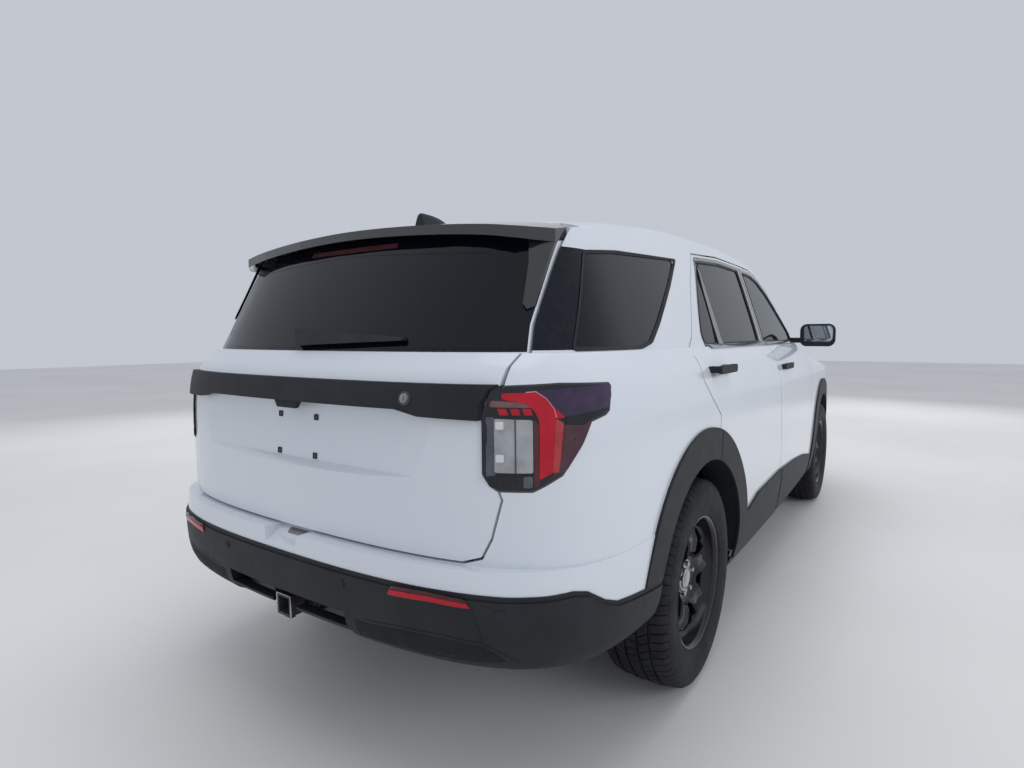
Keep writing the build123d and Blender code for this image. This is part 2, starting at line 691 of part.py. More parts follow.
with BuildPart() as cowl_panel:
    add(upper_volume(0, 4))
    span_box((1105, 1165 - gap), (-716, 716), (1180, 1300), mode=Mode.INTERSECT)
    add(plan_prism(both_flanks(HOOD), grow=gap), mode=Mode.SUBTRACT)
save(cowl_panel, "cowl_panel")


def antenna_section(z, rear, front, half_width):
    """Pointed plan section of the roof antenna."""
    with BuildSketch(Plane.XY.offset(z), mode=Mode.PRIVATE) as section:
        with BuildLine():
            Line((rear, half_width), (rear, -half_width))
            Spline((rear, -half_width), ((rear + front) / 2, -0.85 * half_width), (front, 0))
            Spline((front, 0), ((rear + front) / 2, 0.85 * half_width), (rear, half_width))
        make_face()
    return section.sketch


with BuildPart() as roof_antenna:
    loft([antenna_section(1690, -1873, -1636, 34), antenna_section(1728, -1871, -1682, 19),
          antenna_section(1753, -1868, -1742, 11), antenna_section(1762, -1862, -1796, 5)])
    add(surface, mode=Mode.SUBTRACT)
save(roof_antenna, "roof_antenna")

# ---------------------------------------------------------------- front end
grille_recess = 8.0
valance_top = 520.0
front_grille_prism = rear_prism(both_halves(GRILLE), start=2150, length=500)

with BuildPart() as right_headlamp:
    add(lower_skin)
    add(corner_prism(HEADLAMP, front=True), mode=Mode.INTERSECT)
    add(lamp_inside, mode=Mode.SUBTRACT)
    add(hood_opening, mode=Mode.SUBTRACT)
    add(front_grille_prism, mode=Mode.SUBTRACT)

with BuildPart() as headlamps:
    add(right_headlamp.part)
    mirror(about=Plane.XZ)
save(headlamps, "headlamps")

with BuildPart() as right_fender:
    add(lower_skin)
    span_box((door_lead_x + gap, 2400), (-1200, 0), (sill_height - gap, 1400), mode=Mode.INTERSECT)
    add(lower_wing_inside, mode=Mode.SUBTRACT)
    add(hood_opening, mode=Mode.SUBTRACT)
    add(cross_prism(BUMPER_FRONT_SEAM), mode=Mode.SUBTRACT)
    add(wheel_prism(front_axle_x, well_radius), mode=Mode.SUBTRACT)
    add(right_headlamp.part, mode=Mode.SUBTRACT)

with BuildPart() as front_fenders:
    add(right_fender.part)
    mirror(about=Plane.XZ)
save(front_fenders, "front_fenders")


with BuildPart() as front_shell:
    add(lower_skin)
    add(cross_prism(BUMPER_FRONT_SEAM), mode=Mode.INTERSECT)
    add(lower_wing_inside, mode=Mode.SUBTRACT)
    add(plan_prism(both_flanks(HOOD_OPENING), grow=2 * gap), mode=Mode.SUBTRACT)
    add(headlamps.part, mode=Mode.SUBTRACT)
    add(wheel_prism(front_axle_x, well_radius, -1200, 2400), mode=Mode.SUBTRACT)
    add(front_grille_prism, mode=Mode.SUBTRACT)

with BuildPart() as front_bumper:
    add(front_shell.part)
    span_box((2000, 2700), (-1200, 1200), (0, valance_top), mode=Mode.SUBTRACT)
save(front_bumper, "front_bumper")

with BuildPart() as grille:
    add(lower_volume(grille_recess, 0))
    add(front_grille_prism, mode=Mode.INTERSECT)
    add(lower_wing_inside, mode=Mode.SUBTRACT)
    for slot_z in (745, 800, 855, 910):
        slot_half = 470 if slot_z < 780 else 520
        span_box((2300, 2600), (-slot_half, slot_half), (slot_z, slot_z + 30), mode=Mode.SUBTRACT)
    for post_y in (-340, -170, 0, 170, 340):
        with Locations((2478, post_y, 835)):
            Box(18, 24, 230)
save(grille, "grille")

with BuildPart() as hood:
    add(lower_skin)
    add(plan_prism(both_flanks(HOOD)), mode=Mode.INTERSECT)
    add(hood_inside, mode=Mode.SUBTRACT)
save(hood, "hood")

# ---------------------------------------------------------------- mouldings and rockers
with BuildPart() as right_moulding_band:
    add(moulding_surface)
    add(lower_skin, mode=Mode.SUBTRACT)
    span_box((-3000, 3000), (0, 1500), (0, 2000), mode=Mode.SUBTRACT)
    span_box((-3000, 3000), (-1500, 100), (1160, 2000), mode=Mode.SUBTRACT)


def arch_lip(x):
    """Lip of an arch moulding, turned into the wheel opening."""
    with BuildPart(mode=Mode.PRIVATE) as lip:
        add(lower_skin)
        add(wheel_prism(x, well_radius - 0.5, inner=arch_radius), mode=Mode.INTERSECT)
        add(lower_wing_inside, mode=Mode.SUBTRACT)
    return lip.part


def arch_moulding(x):
    """Moulding round one wheel opening."""
    with BuildPart(mode=Mode.PRIVATE) as moulding:
        add(right_moulding_band.part)
        add(wheel_prism(x, arch_moulding_radius, inner=arch_radius), mode=Mode.INTERSECT)
        add(arch_lip(x))
        span_box((-3000, 3000), (-1500, 100), (0, sill_height), mode=Mode.SUBTRACT)
    return moulding.part


rear_arch_solid = arch_moulding(rear_axle_x)
front_arch_solid = arch_moulding(front_axle_x)

with BuildPart() as right_cladding:
    add(right_shell)
    span_box((-1000, 1130), (-1200, 0), (0, sill_height - gap), mode=Mode.INTERSECT)
    add(wheel_prism(rear_axle_x, well_radius), mode=Mode.SUBTRACT)
    add(wheel_prism(front_axle_x, well_radius), mode=Mode.SUBTRACT)

with BuildPart() as right_rear_arch:
    add(rear_arch_solid)
    add(side_prism(REAR_DOOR, grow=gap), mode=Mode.SUBTRACT)
    add(cladding_region, mode=Mode.SUBTRACT)

with BuildPart() as right_front_arch:
    add(front_arch_solid)
    span_box((900, door_lead_x + 2 * gap), (-1200, 0), (0, 1200), mode=Mode.SUBTRACT)

with BuildPart() as front_valance:
    add(front_shell.part)
    span_box((2000, 2700), (-1200, 1200), (0, valance_top), mode=Mode.INTERSECT)

with BuildPart() as body_cladding:
    add(right_cladding.part)
    add(right_rear_arch.part)
    add(right_front_arch.part)
    mirror(about=Plane.XZ)
    add(front_valance.part)
save(body_cladding, "body_cladding")


def handle(x, z):
    """Pull handle standing off the door skin."""
    with BuildPart(mode=Mode.PRIVATE) as pull:
        span_box((x - 112, x + 112), (-998, -984), (z - 16, z + 16))
        fillet(pull.edges().filter_by(Axis.Y), 14)
        for foot_x in (x - 84, x + 84):
            span_box((foot_x - 24, foot_x + 24), (-988, -900), (z - 12, z + 12))
        add(surface, mode=Mode.SUBTRACT)
    return pull.part


mirror_x = 835.0
with BuildPart() as mirror_housing:
    with BuildSketch(Plane.YZ.offset(mirror_x - 45)):
        with Locations((-1030, 1288)):
            RectangleRounded(208, 146, 40)
    with BuildSketch(Plane.YZ.offset(mirror_x + 10)):
        with Locations((-1028, 1290)):
            RectangleRounded(200, 140, 46)
    with BuildSketch(Plane.YZ.offset(mirror_x + 70)):
        with Locations((-1018, 1284)):
            RectangleRounded(150, 96, 40)
    loft()
    span_box((mirror_x - 30, mirror_x + 42), (-950, -780), (1238, 1272))
    add(surface, mode=Mode.SUBTRACT)

with BuildPart() as front_door_trim:
    add(right_moulding_band.part)
    add(side_prism(FRONT_DOOR_STRIP), mode=Mode.INTERSECT)
    add(handle(55, 1118))
    add(mirror_housing.part)

with BuildPart() as rear_strip_region:
    add(side_prism(REAR_DOOR_STRIP))
    add(wheel_prism(rear_axle_x, arch_moulding_radius))
    add(side_prism(REAR_DOOR), mode=Mode.INTERSECT)
    add(wheel_prism(rear_axle_x, arch_radius), mode=Mode.SUBTRACT)

with BuildPart() as rear_door_trim:
    add(right_moulding_band.part)
    add(rear_strip_region.part, mode=Mode.INTERSECT)
    add(handle(-1205, 1160))

for side, name in ((1, "right"), (-1, "left")):
    for kind, piece in (("front", front_door_trim), ("rear", rear_door_trim)):
        with BuildPart() as trim:
            add(piece.part if side > 0 else mirror(piece.part, about=Plane.XZ))
        save(trim, f"door_{kind}_{name}_trim")

# ---------------------------------------------------------------- liftgate
with BuildPart() as spoiler_volume:
    add(roof_limit(0))
    add(plan_prism(both_flanks(SPOILER), start=1400), mode=Mode.INTERSECT)
    add(roof_limit(28), mode=Mode.SUBTRACT)

with BuildPart() as fin_region:
    add(rear_prism(SIDE_FIN, length=640))
    mirror(about=Plane.XZ)

fin_height = 9.0
with BuildPart() as fin_volume:
    add(body_volume(-fin_height, -fin_height, 0))
    add(surface, mode=Mode.SUBTRACT)
    add(fin_region.part, mode=Mode.INTERSECT)
    span_box((-2500, -2000), (-690, 690), (1600, 1800), mode=Mode.SUBTRACT)

with BuildPart() as liftgate_spoiler:
    add(spoiler_volume.part)
    add(fin_volume.part)
save(liftgate_spoiler, "liftgate_spoiler")

with BuildPart() as liftgate_glass:
    add(surface)
    add(rear_prism(both_halves(GATE_GLASS)), mode=Mode.INTERSECT)
    add(skin_inside, mode=Mode.SUBTRACT)
    add(cross_prism(GATE_SIDE), mode=Mode.INTERSECT)
    add(liftgate_spoiler.part, mode=Mode.SUBTRACT)
save(liftgate_glass, "liftgate_glass")

plate_holes = [(y, plate_height + z) for y in (-plate_pitch_y / 2, plate_pitch_y / 2)
               for z in (-plate_pitch_z / 2, plate_pitch_z / 2)]

with BuildPart() as liftgate:
    add(surface)
    add(rear_prism(both_halves(GATE), length=683), mode=Mode.INTERSECT)
    add(gate_lining, mode=Mode.SUBTRACT)
    add(cross_prism(GATE_SIDE), mode=Mode.INTERSECT)
    add(rear_prism(both_halves(GATE_WINDOW), radius=20, length=700), mode=Mode.SUBTRACT)
    add(liftgate_glass.part, mode=Mode.SUBTRACT)
    add(liftgate_spoiler.part, mode=Mode.SUBTRACT)
    add(cross_prism(PLATE_SCOOP, width=1310), mode=Mode.SUBTRACT)
    for y, z in plate_holes:
        rod((rear_end, y, z), (plate_hole_end_x, y, z), plate_hole_radius, mode=Mode.SUBTRACT)
save(liftgate, "liftgate")

with BuildPart() as rear_wiper:
    add(body_volume(-20, -20, 0))
    add(rear_prism(WIPER), mode=Mode.INTERSECT)
    add(surface, mode=Mode.SUBTRACT)

with BuildPart() as bar_handle:
    add(lower_volume(-12, 0))
    add(rear_prism(BAR_HANDLE), mode=Mode.INTERSECT)
    add(lower_volume(2, 0), mode=Mode.SUBTRACT)
    add(liftgate.part, mode=Mode.SUBTRACT)

with BuildPart() as liftgate_trim:
    add(lower_volume(-22, 0))
    add(rear_prism(both_halves(GATE_BAR)), mode=Mode.INTERSECT)
    add(lower_volume(2, 0), mode=Mode.SUBTRACT)
    add(liftgate.part, mode=Mode.SUBTRACT)
    add(bar_handle.part)
    add(rear_wiper.part)
save(liftgate_trim, "liftgate_trim")

# ---------------------------------------------------------------- underbody
floor_top = sill_height - gap - 3
floor_bottom = floor_top - 35
firewall_x = 1040.0
cargo_floor_top = 640.0
wheelhouse_inner_rear = 610.0
wheelhouse_inner_front = 480.0
liner_edge = 806.0
liner_thickness = 10.0
shaft_hole_radius = 30.0


def wheelhouse(x, inner):
    """Right-hand liner over a wheel, open at the bottom and to the outside."""
    with BuildPart(mode=Mode.PRIVATE) as house:
        add(wheel_prism(x, well_radius + 2 * liner_thickness, inner, liner_edge - inner))
        add(wheel_prism(x, well_radius + liner_thickness, inner + liner_thickness, liner_edge),
            mode=Mode.SUBTRACT)
        span_box((x - 700, x + 700), (-1000, 0), (-200, floor_bottom), mode=Mode.SUBTRACT)
        rod((x, -inner - 40, axle_height), (x, -inner + 10, axle_height), shaft_hole_radius, mode=Mode.SUBTRACT)
    return house.part


for axle_x, inner, end in ((rear_axle_x, wheelhouse_inner_rear, "rear"),
                           (front_axle_x, wheelhouse_inner_front, "front")):
    with BuildPart() as wheelhouses:
        add(wheelhouse(axle_x, inner))
        mirror(about=Plane.XZ)
    save(wheelhouses, f"wheelhouses_{end}")

tunnel_half = 130.0
tunnel_top = 435.0
tunnel_wall = 20.0
firewall_top = 1120.0
riser_x = -935.0              # front face of the step up to the cargo floor

with BuildPart() as side_floor:
    span_box((-900, firewall_x), (-1000, 1000), (floor_bottom, floor_top))
    add(lining, mode=Mode.INTERSECT)

with BuildPart() as rear_floor:
    span_box((-2330, riser_x), (-790, 790), (cargo_floor_top - 35, cargo_floor_top))
    add(lining, mode=Mode.INTERSECT)

with BuildPart() as rear_wheel_spaces:
    add(wheel_prism(rear_axle_x, well_radius + 2 * liner_thickness + 1, wheelhouse_inner_rear - 1))
    mirror(about=Plane.XZ)

with BuildPart() as floor_pan:
    add(side_floor.part)
    add(rear_floor.part)
    span_box((riser_x, -900), (-590, 590), (floor_bottom, cargo_floor_top))
    span_box((firewall_x, firewall_x + 30), (-700, 700), (floor_bottom, firewall_top))
    span_box((riser_x, firewall_x + 30), (-tunnel_half, tunnel_half), (floor_bottom, tunnel_top))
    span_box((-2000, firewall_x + 100), (-tunnel_half + tunnel_wall, tunnel_half - tunnel_wall),
             (0, tunnel_top - tunnel_wall), mode=Mode.SUBTRACT)
    add(rear_wheel_spaces.part, mode=Mode.SUBTRACT)
save(floor_pan, "floor_pan")

with BuildPart() as right_rail:
    span_box((firewall_x + 30, 2220), (-wheelhouse_inner_front + 4, -wheelhouse_inner_front + 84), (420, 560))
    span_box((-2330, riser_x), (-wheelhouse_inner_rear + 4, -wheelhouse_inner_rear + 64), (480, 604))

with BuildPart() as frame_rails:
    add(right_rail.part)
    mirror(about=Plane.XZ)
    span_box((-2396, -2330), (-560, 560), (500, 672))
    span_box((2220, 2280), (-520, 520), (420, 960))
save(frame_rails, "frame_rails")

with BuildPart() as engine_block:
    span_box((1330, 1960), (-290, 290), (390, 930))
save(engine_block, "engine_block")

# ---------------------------------------------------------------- wheels and tyres
disc_face_y = 44.0            # hub face outboard of the wheel's centre plane
hub_radius = 75.0
tyre_half = tyre_width / 2
rim_half = rim_width / 2
SPOKE_COUNT = 5


TYRE_PROFILE = [
    (rim_radius, rim_half - 0.5), (rim_radius + 14, rim_half + 2), (rim_radius + 26, rim_half + 10),
    (rim_radius + 60, tyre_half - 2),
    (rim_radius + 95, tyre_half), (tyre_radius - 26, tyre_half - 8), (tyre_radius - 7, tyre_half - 24),
    (tyre_radius, tyre_half - 50),
]
TYRE_CAVITY = [
    (rim_radius, rim_half - 16), (rim_radius + 24, rim_half - 8), (rim_radius + 60, tyre_half - 16),
    (rim_radius + 95, tyre_half - 14), (tyre_radius - 30, tyre_half - 26), (tyre_radius - 18, tyre_half - 55),
]
RIM_PROFILE = [
    (rim_radius + 13, rim_half + 9), (rim_radius + 13, rim_half + 3), (rim_radius, rim_half),
    (rim_radius, rim_half - 40), (rim_radius - 22, rim_half - 55), (rim_radius - 22, -rim_half + 45),
    (rim_radius, -rim_half + 30), (rim_radius, -rim_half), (rim_radius + 13, -rim_half - 3),
    (rim_radius + 13, -rim_half - 9), (rim_radius - 7, -rim_half - 9), (rim_radius - 7, -rim_half + 28),
    (rim_radius - 29, -rim_half + 43), (rim_radius - 29, rim_half - 57), (rim_radius - 7, rim_half - 42),
    (rim_radius - 7, rim_half + 9),
]
DISC_PROFILE = [
    (0, disc_face_y + 12), (62, disc_face_y + 12), (80, disc_face_y + 16), (120, disc_face_y + 44),
    (165, disc_face_y + 40), (rim_radius - 29, disc_face_y), (rim_radius - 29, disc_face_y - 22),
    (160, disc_face_y + 28), (120, disc_face_y + 31), (82, disc_face_y), (0, disc_face_y),
]


def revolved(points, x, y_sign=1):
    """Turn a profile of (radius, outboard offset) about a right-hand wheel's axle."""
    with BuildPart(mode=Mode.PRIVATE) as turned:
        plane = Plane(origin=(x, -wheel_y, axle_height), x_dir=(0, 0, 1), z_dir=(1, 0, 0))
        with BuildSketch(plane):
            with BuildLine():
                Polyline(*[(radius, offset_y) for radius, offset_y in points], close=True)
            make_face()
        revolve(axis=Axis((x, -wheel_y, axle_height), (0, 1, 0)))
    return turned.part


def mirrored(piece, name, other_name):
    """Write a right-hand piece and its left-hand twin."""
    save(piece, name)
    with BuildPart() as twin:
        mirror(piece.part, about=Plane.XZ)
    save(twin, other_name)


hub_inner = -60.0             # inboard end of the hub, from the wheel's centre plane
brake_radius = 165.0


def wheel_windows(x):
    """Openings between the spokes."""
    with BuildPart(mode=Mode.PRIVATE) as windows:
        with BuildSketch(Plane.XZ.offset(wheel_y - 40)):
            with Locations((x, axle_height)):
                with PolarLocations(158, SPOKE_COUNT, start_angle=90 + 36):
                    SlotOverall(104, 58, rotation=90)
        extrude(amount=200)
    return windows.part


def wheel_solid(x):
    """Steel wheel with its hub and brake disc, for the right-hand side."""
    with BuildPart(mode=Mode.PRIVATE) as wheel:
        add(revolved(RIM_PROFILE, x))
        add(revolved(DISC_PROFILE, x))
        add(wheel_windows(x), mode=Mode.SUBTRACT)
        with BuildSketch(Plane.XZ.offset(wheel_y + hub_inner)):
            with Locations((x, axle_height)):
                Circle(hub_radius)
        extrude(amount=disc_face_y - hub_inner)
        with BuildSketch(Plane.XZ.offset(wheel_y - 26)):
            with Locations((x, axle_height)):
                Circle(brake_radius)
        extrude(amount=26)
        with BuildSketch(Plane.XZ.offset(wheel_y + disc_face_y)):
            with Locations((x, axle_height)):
                Circle(34)
        extrude(amount=26)
    return wheel.part


for axle_x, end in ((front_axle_x, "front"), (rear_axle_x, "rear")):
    with BuildPart() as wheel:
        add(wheel_solid(axle_x))
    mirrored(wheel, f"wheel_{end}_right", f"wheel_{end}_left")
    with BuildPart() as tyre:
        add(revolved(TYRE_PROFILE + [(radius, -offset_y) for radius, offset_y in reversed(TYRE_PROFILE)], axle_x))
        add(revolved(TYRE_CAVITY + [(radius, -offset_y) for radius, offset_y in reversed(TYRE_CAVITY)], axle_x),
            mode=Mode.SUBTRACT)
    mirrored(tyre, f"tyre_{end}_right", f"tyre_{end}_left")

# ---------------------------------------------------------------- steering and suspension
hub_clearance = 6.0
upright_outer_y = wheel_y + hub_inner - hub_clearance
upright_inner_y = upright_outer_y - 46
upright_bottom = 262.0
upright_top = 500.0


def caliper(x):
    """Block over the edge of the brake disc, for the right-hand side."""
    with BuildPart(mode=Mode.PRIVATE) as block:
        span_box((x + 128, x + 180), (-wheel_y - 26, -upright_inner_y), (axle_height - 50, axle_height + 50))
        rod((x, -wheel_y - 8, axle_height), (x, -wheel_y + 34, axle_height), brake_radius + hub_clearance,
            mode=Mode.SUBTRACT)
    return block.part


def upright(x):
    """Wheel carrier with its brake caliper, for the right-hand side."""
    with BuildPart(mode=Mode.PRIVATE) as carrier:
        span_box((x - 38, x + 38), (-upright_outer_y, -upright_inner_y), (upright_bottom, upright_top))
        rod((x, -upright_inner_y, axle_height), (x, -upright_outer_y, axle_height), 66)
        span_box((x - 26, x + 26), (-upright_inner_y - 4, -upright_inner_y + 46), (upright_top - 36, upright_top))
        span_box((x + 60, x + 176), (-upright_outer_y, -upright_inner_y), (axle_height - 52, axle_height + 52))
        add(caliper(x))
    return carrier.part


steering_arm_length = 120.0
with BuildPart() as knuckle:
    add(upright(front_axle_x))
    span_box((front_axle_x - steering_arm_length, front_axle_x), (-upright_inner_y - 2, -upright_inner_y + 22),
             (upright_bottom + 20, upright_bottom + 46))
mirrored(knuckle, "knuckle_front_right", "knuckle_front_left")

ball_gap = 7.0
strut_y = 668.0
rack_half = wheelhouse_inner_front - 8
strut_radius = 22.0


def corner_springing(x, front):
    """Lower arm, strut and spring of one corner, for the right-hand side."""
    arm_top = upright_bottom - ball_gap if front else upright_bottom
    strut_foot = upright_top + 12 if front else upright_top
    with BuildPart(mode=Mode.PRIVATE) as corner:
        rod((x, -kingpin_y, arm_top - 40), (x, -kingpin_y, arm_top), 24)
        rod((x - 190, -330, arm_top - 20), (x, -kingpin_y, arm_top - 20), 17)
        rod((x + 190, -330, arm_top - 20), (x, -kingpin_y, arm_top - 20), 17)
        rod((x, -strut_y, strut_foot), (x, -strut_y, 855), strut_radius)
        rod((x, -strut_y, 770), (x, -strut_y, 856), 44)
    return corner.part


with BuildPart() as suspension:
    for axle_x, is_front in ((front_axle_x, True), (rear_axle_x, False)):
        add(corner_springing(axle_x, is_front))
        span_box((axle_x - 230, axle_x - 150), (-360, 0), (195, 262))
        span_box((axle_x + 150, axle_x + 230), (-360, 0), (195, 262))
        span_box((axle_x - 230, axle_x + 230), (-380, -320), (195, 262))
    add(upright(rear_axle_x))
    span_box((front_axle_x - 150, front_axle_x - 110), (-rack_half, 0), (266, 306))
    mirror(about=Plane.XZ)
save(suspension, "suspension")

shaft_end_y = 692.0
with BuildPart() as driveline:
    rod((rear_axle_x, -upright_inner_y + 1, axle_height), (rear_axle_x, -100, axle_height), 17)
    rod((front_axle_x, -shaft_end_y, axle_height), (front_axle_x, -295, axle_height), 17)
    mirror(about=Plane.XZ)
    with Locations((rear_axle_x, 0, axle_height)):
        Box(300, 220, 200)
    rod((rear_axle_x + 140, 0, axle_height - 20), (firewall_x + 60, 0, axle_height - 70), 34)
    with Locations((firewall_x + 163, 0, axle_height - 40)):
        Box(254, 300, 230)
save(driveline, "driveline")

exhaust_y = -330.0
exhaust_z = 232.0
exhaust_rear_z = 484.0
silencer_x = -2085.0
EXHAUST_ROUTE = [
    (1300, exhaust_y, exhaust_z), (-960, exhaust_y, exhaust_z), (-1190, exhaust_y, exhaust_rear_z),
    (silencer_x + 60, exhaust_y, exhaust_rear_z),
]
with BuildPart() as exhaust:
    with BuildLine() as route:
        FilletPolyline(*EXHAUST_ROUTE, radius=110)
    with BuildSketch(Plane(origin=route.line @ 0, z_dir=route.line % 0)):
        Circle(30)
    sweep()
    with Locations((200, exhaust_y, exhaust_z)):
        Box(420, 190, 104)
    with Locations((silencer_x, 0, 468)):
        Box(190, 800, 110)
save(exhaust, "exhaust")

# ---------------------------------------------------------------- cabin
seat_half = 265.0
seat_y = 370.0


def cushion(x, y, z, radius, lean=0.0):
    """Rounded block between the two values given for each axis, tilted back about its lower front edge."""
    with BuildPart(mode=Mode.PRIVATE) as pad:
        span_box(x, y, z)
        fillet(pad.edges().filter_by(Axis.Z), radius)
        fillet(pad.faces().sort_by(Axis.Z)[-1].edges(), radius * 0.6)
    return pad.part.rotate(Axis((x[0], 0, z[0]), (0, 1, 0)), -lean)


with BuildPart() as front_seats:
    add(cushion((-60, 450), (-seat_y - seat_half, -seat_y + seat_half), (480, 650), 60))
    add(cushion((-140, 10), (-seat_y - seat_half, -seat_y + seat_half), (600, 1180), 60, lean=14))
    add(cushion((-262, -170), (-seat_y - 130, -seat_y + 130), (1150, 1370), 40, lean=6))
    span_box((-20, 400), (-seat_y - 200, -seat_y + 200), (floor_top, 482))
    mirror(about=Plane.XZ)
save(front_seats, "front_seats")

with BuildPart() as rear_seat:
    add(cushion((-860, -390), (-620, 620), (500, 670), 60))
    add(cushion((-960, -810), (-620, 620), (650, 1190), 60, lean=14))
    for head_y in (-360, 360):
        add(cushion((-1075, -985), (head_y - 120, head_y + 120), (1170, 1350), 38, lean=6))
    for base_y in (-350, 350):
        span_box((-840, -430), (base_y - 200, base_y + 200), (floor_top, 502))
save(rear_seat, "rear_seat")

wheel_centre = Vector(455, seat_y, 985)
column_direction = Vector(0.92, 0, -0.39).normalized()
steering_ring_radius = 185.0

with BuildPart() as steering_wheel:
    with Locations(Plane(origin=wheel_centre, x_dir=(0, 1, 0), z_dir=column_direction)):
        Torus(steering_ring_radius, 14)
        Cylinder(62, 44)
        Box(2 * steering_ring_radius - 6, 32, 14)
        with Locations((0, -steering_ring_radius / 2, 0)):
            Box(32, steering_ring_radius - 6, 14)
save(steering_wheel, "steering_wheel")

console_half = 98.0           # between the front seats
with BuildPart() as dashboard:
    with BuildSketch(Plane.XZ.offset(-720)):
        with BuildLine():
            Polyline((1038, 700), (1038, 1100), (880, 1128), (720, 1120), (640, 1060), (650, 900), (740, 760),
                     close=True)
        make_face()
    extrude(amount=1440)
    fillet(dashboard.edges().filter_by(Axis.Y).group_by(Axis.X)[0], 40)
    span_box((120, 760), (-console_half, console_half), (tunnel_top + 1, 640))
    span_box((560, 800), (-150, 150), (600, 1000))
    rod(tuple(wheel_centre + column_direction * 32), tuple(wheel_centre + column_direction * 330), 38)
    add(lining, mode=Mode.INTERSECT)
save(dashboard, "dashboard")
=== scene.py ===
"""Looks of the police sport utility vehicle: finishes, glass, lamps, wheels, tyres, trim and cabin.

Metres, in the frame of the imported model: +X to the front, +Y to the left, +Z up, ground at z = 0.
"""

import bpy
import bmesh
import json
import math
from mathutils import Matrix, Vector
from mathutils.bvhtree import BVHTree
from mathutils.geometry import delaunay_2d_cdt


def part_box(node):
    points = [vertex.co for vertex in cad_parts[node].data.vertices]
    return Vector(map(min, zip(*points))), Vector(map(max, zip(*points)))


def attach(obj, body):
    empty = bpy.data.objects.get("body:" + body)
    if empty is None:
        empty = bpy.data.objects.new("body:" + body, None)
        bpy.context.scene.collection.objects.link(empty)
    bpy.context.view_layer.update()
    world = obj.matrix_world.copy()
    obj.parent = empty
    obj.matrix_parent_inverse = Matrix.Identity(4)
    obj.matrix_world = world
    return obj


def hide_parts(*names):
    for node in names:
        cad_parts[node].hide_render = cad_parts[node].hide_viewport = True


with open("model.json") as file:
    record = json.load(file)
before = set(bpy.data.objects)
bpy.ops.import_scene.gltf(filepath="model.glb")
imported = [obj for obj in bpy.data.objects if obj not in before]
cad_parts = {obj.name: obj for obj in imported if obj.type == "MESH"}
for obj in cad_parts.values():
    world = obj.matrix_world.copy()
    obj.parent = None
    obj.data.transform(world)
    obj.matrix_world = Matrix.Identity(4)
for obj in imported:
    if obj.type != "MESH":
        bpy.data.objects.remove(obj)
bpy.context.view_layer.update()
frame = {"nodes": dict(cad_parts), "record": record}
nodes = frame["nodes"]
scene = bpy.context.scene
SIDES = ((-1, "right"), (1, "left"))
FRONT_AXLE, REAR_AXLE = 1.595, -1.43
AXLE_HEIGHT = 0.3815


# ---- materials
class Nodes:
    """Node tree of one finish, whose textures follow the object's own coordinates."""

    def __init__(self, name, **values):
        self.material = bpy.data.materials.new(name)
        self.material.use_nodes = True
        self.tree = self.material.node_tree
        self.shader = self.tree.nodes["Principled BSDF"]
        self.place = self.tree.nodes.new("ShaderNodeTexCoord").outputs["Object"]
        for key, value in values.items():
            self.shader.inputs[key.replace("_", " ")].default_value = value

    def add(self, kind, output, **inputs):
        """Output of a new node, with each input linked to a socket or set to a value."""
        node = self.tree.nodes.new("ShaderNode" + kind)
        for key, value in inputs.items():
            socket = node.inputs[key.replace("_", " ")]
            if isinstance(value, bpy.types.NodeSocket):
                self.tree.links.new(value, socket)
            else:
                socket.default_value = value
        return node.outputs[output]

    def noise(self, scale, detail=2.0, roughness=0.5):
        return self.add("TexNoise", "Fac", Vector=self.place, Scale=scale, Detail=detail, Roughness=roughness)

    def waves(self, scale):
        bands = self.add("TexWave", "Fac", Vector=self.place, Scale=scale)
        bands.node.bands_direction = "DIAGONAL"
        return bands

    def drive(self, source, key):
        self.tree.links.new(source, self.shader.inputs[key])


SHADE_STOPS = (0.35, 0.65)


def finish(name, shades, tone, rough, wear, relief=None, grain=None, ribs=0.0, **values):
    """Two shades over a noise, a range of roughness over a second, a relief from a third or from ribs."""
    m = Nodes(name, **values)
    colour = m.add("ValToRGB", "Color", Fac=m.noise(*tone))
    for element, position, shade in zip(colour.node.color_ramp.elements, SHADE_STOPS, shades):
        element.position = position
        element.color = (*shade, 1.0)
    m.drive(colour, "Base Color")
    low, high = rough
    m.drive(m.add("MapRange", "Result", Value=m.noise(*wear), To_Min=low, To_Max=high), "Roughness")
    if relief:
        distance, strength = relief
        height = m.waves(ribs) if ribs else m.noise(*grain)
        m.drive(m.add("Bump", "Normal", Height=height, Distance=distance, Strength=strength), "Normal")
    return m.material


def plastic(name, dark, light, rough=(0.5, 0.62), grain=0.00012):
    return finish(name, (dark, light), (7.0, 4.0), rough, (25.0,), (grain, 0.8), (1400.0, 2.0, 0.6),
                  Specular_IOR_Level=0.3)


def gloss_black():
    return finish("gloss black", ((0.012, 0.013, 0.015), (0.02, 0.021, 0.024)), (5.0,), (0.16, 0.24), (30.0,),
                  (0.00003, 0.3), (220.0,), Coat_Weight=1.0, Coat_Roughness=0.04)


def glass(name, tint, opacity):
    return finish(name, (tint, tuple(c * 1.12 for c in tint)), (0.9,), (0.02, 0.032), (3.0,), Alpha=opacity,
                  IOR=1.45, Specular_IOR_Level=0.42)


def lens(name, dark, light, ribs=0.0):
    relief = (0.0009, 0.8) if ribs else (0.00004, 0.3)
    return finish(name, (dark, light), (20.0,), (0.16, 0.24), (30.0,), relief, (300.0,), ribs,
                  Coat_Weight=0.35, Coat_Roughness=0.02, Specular_IOR_Level=0.3)


def metal(name, dark, light, rough=(0.3, 0.45), metallic=1.0, grain=400.0):
    return finish(name, (dark, light), (12.0, 4.0), rough, (40.0, 3.0), (0.00008, 0.5), (grain, 3.0),
                  Metallic=metallic)


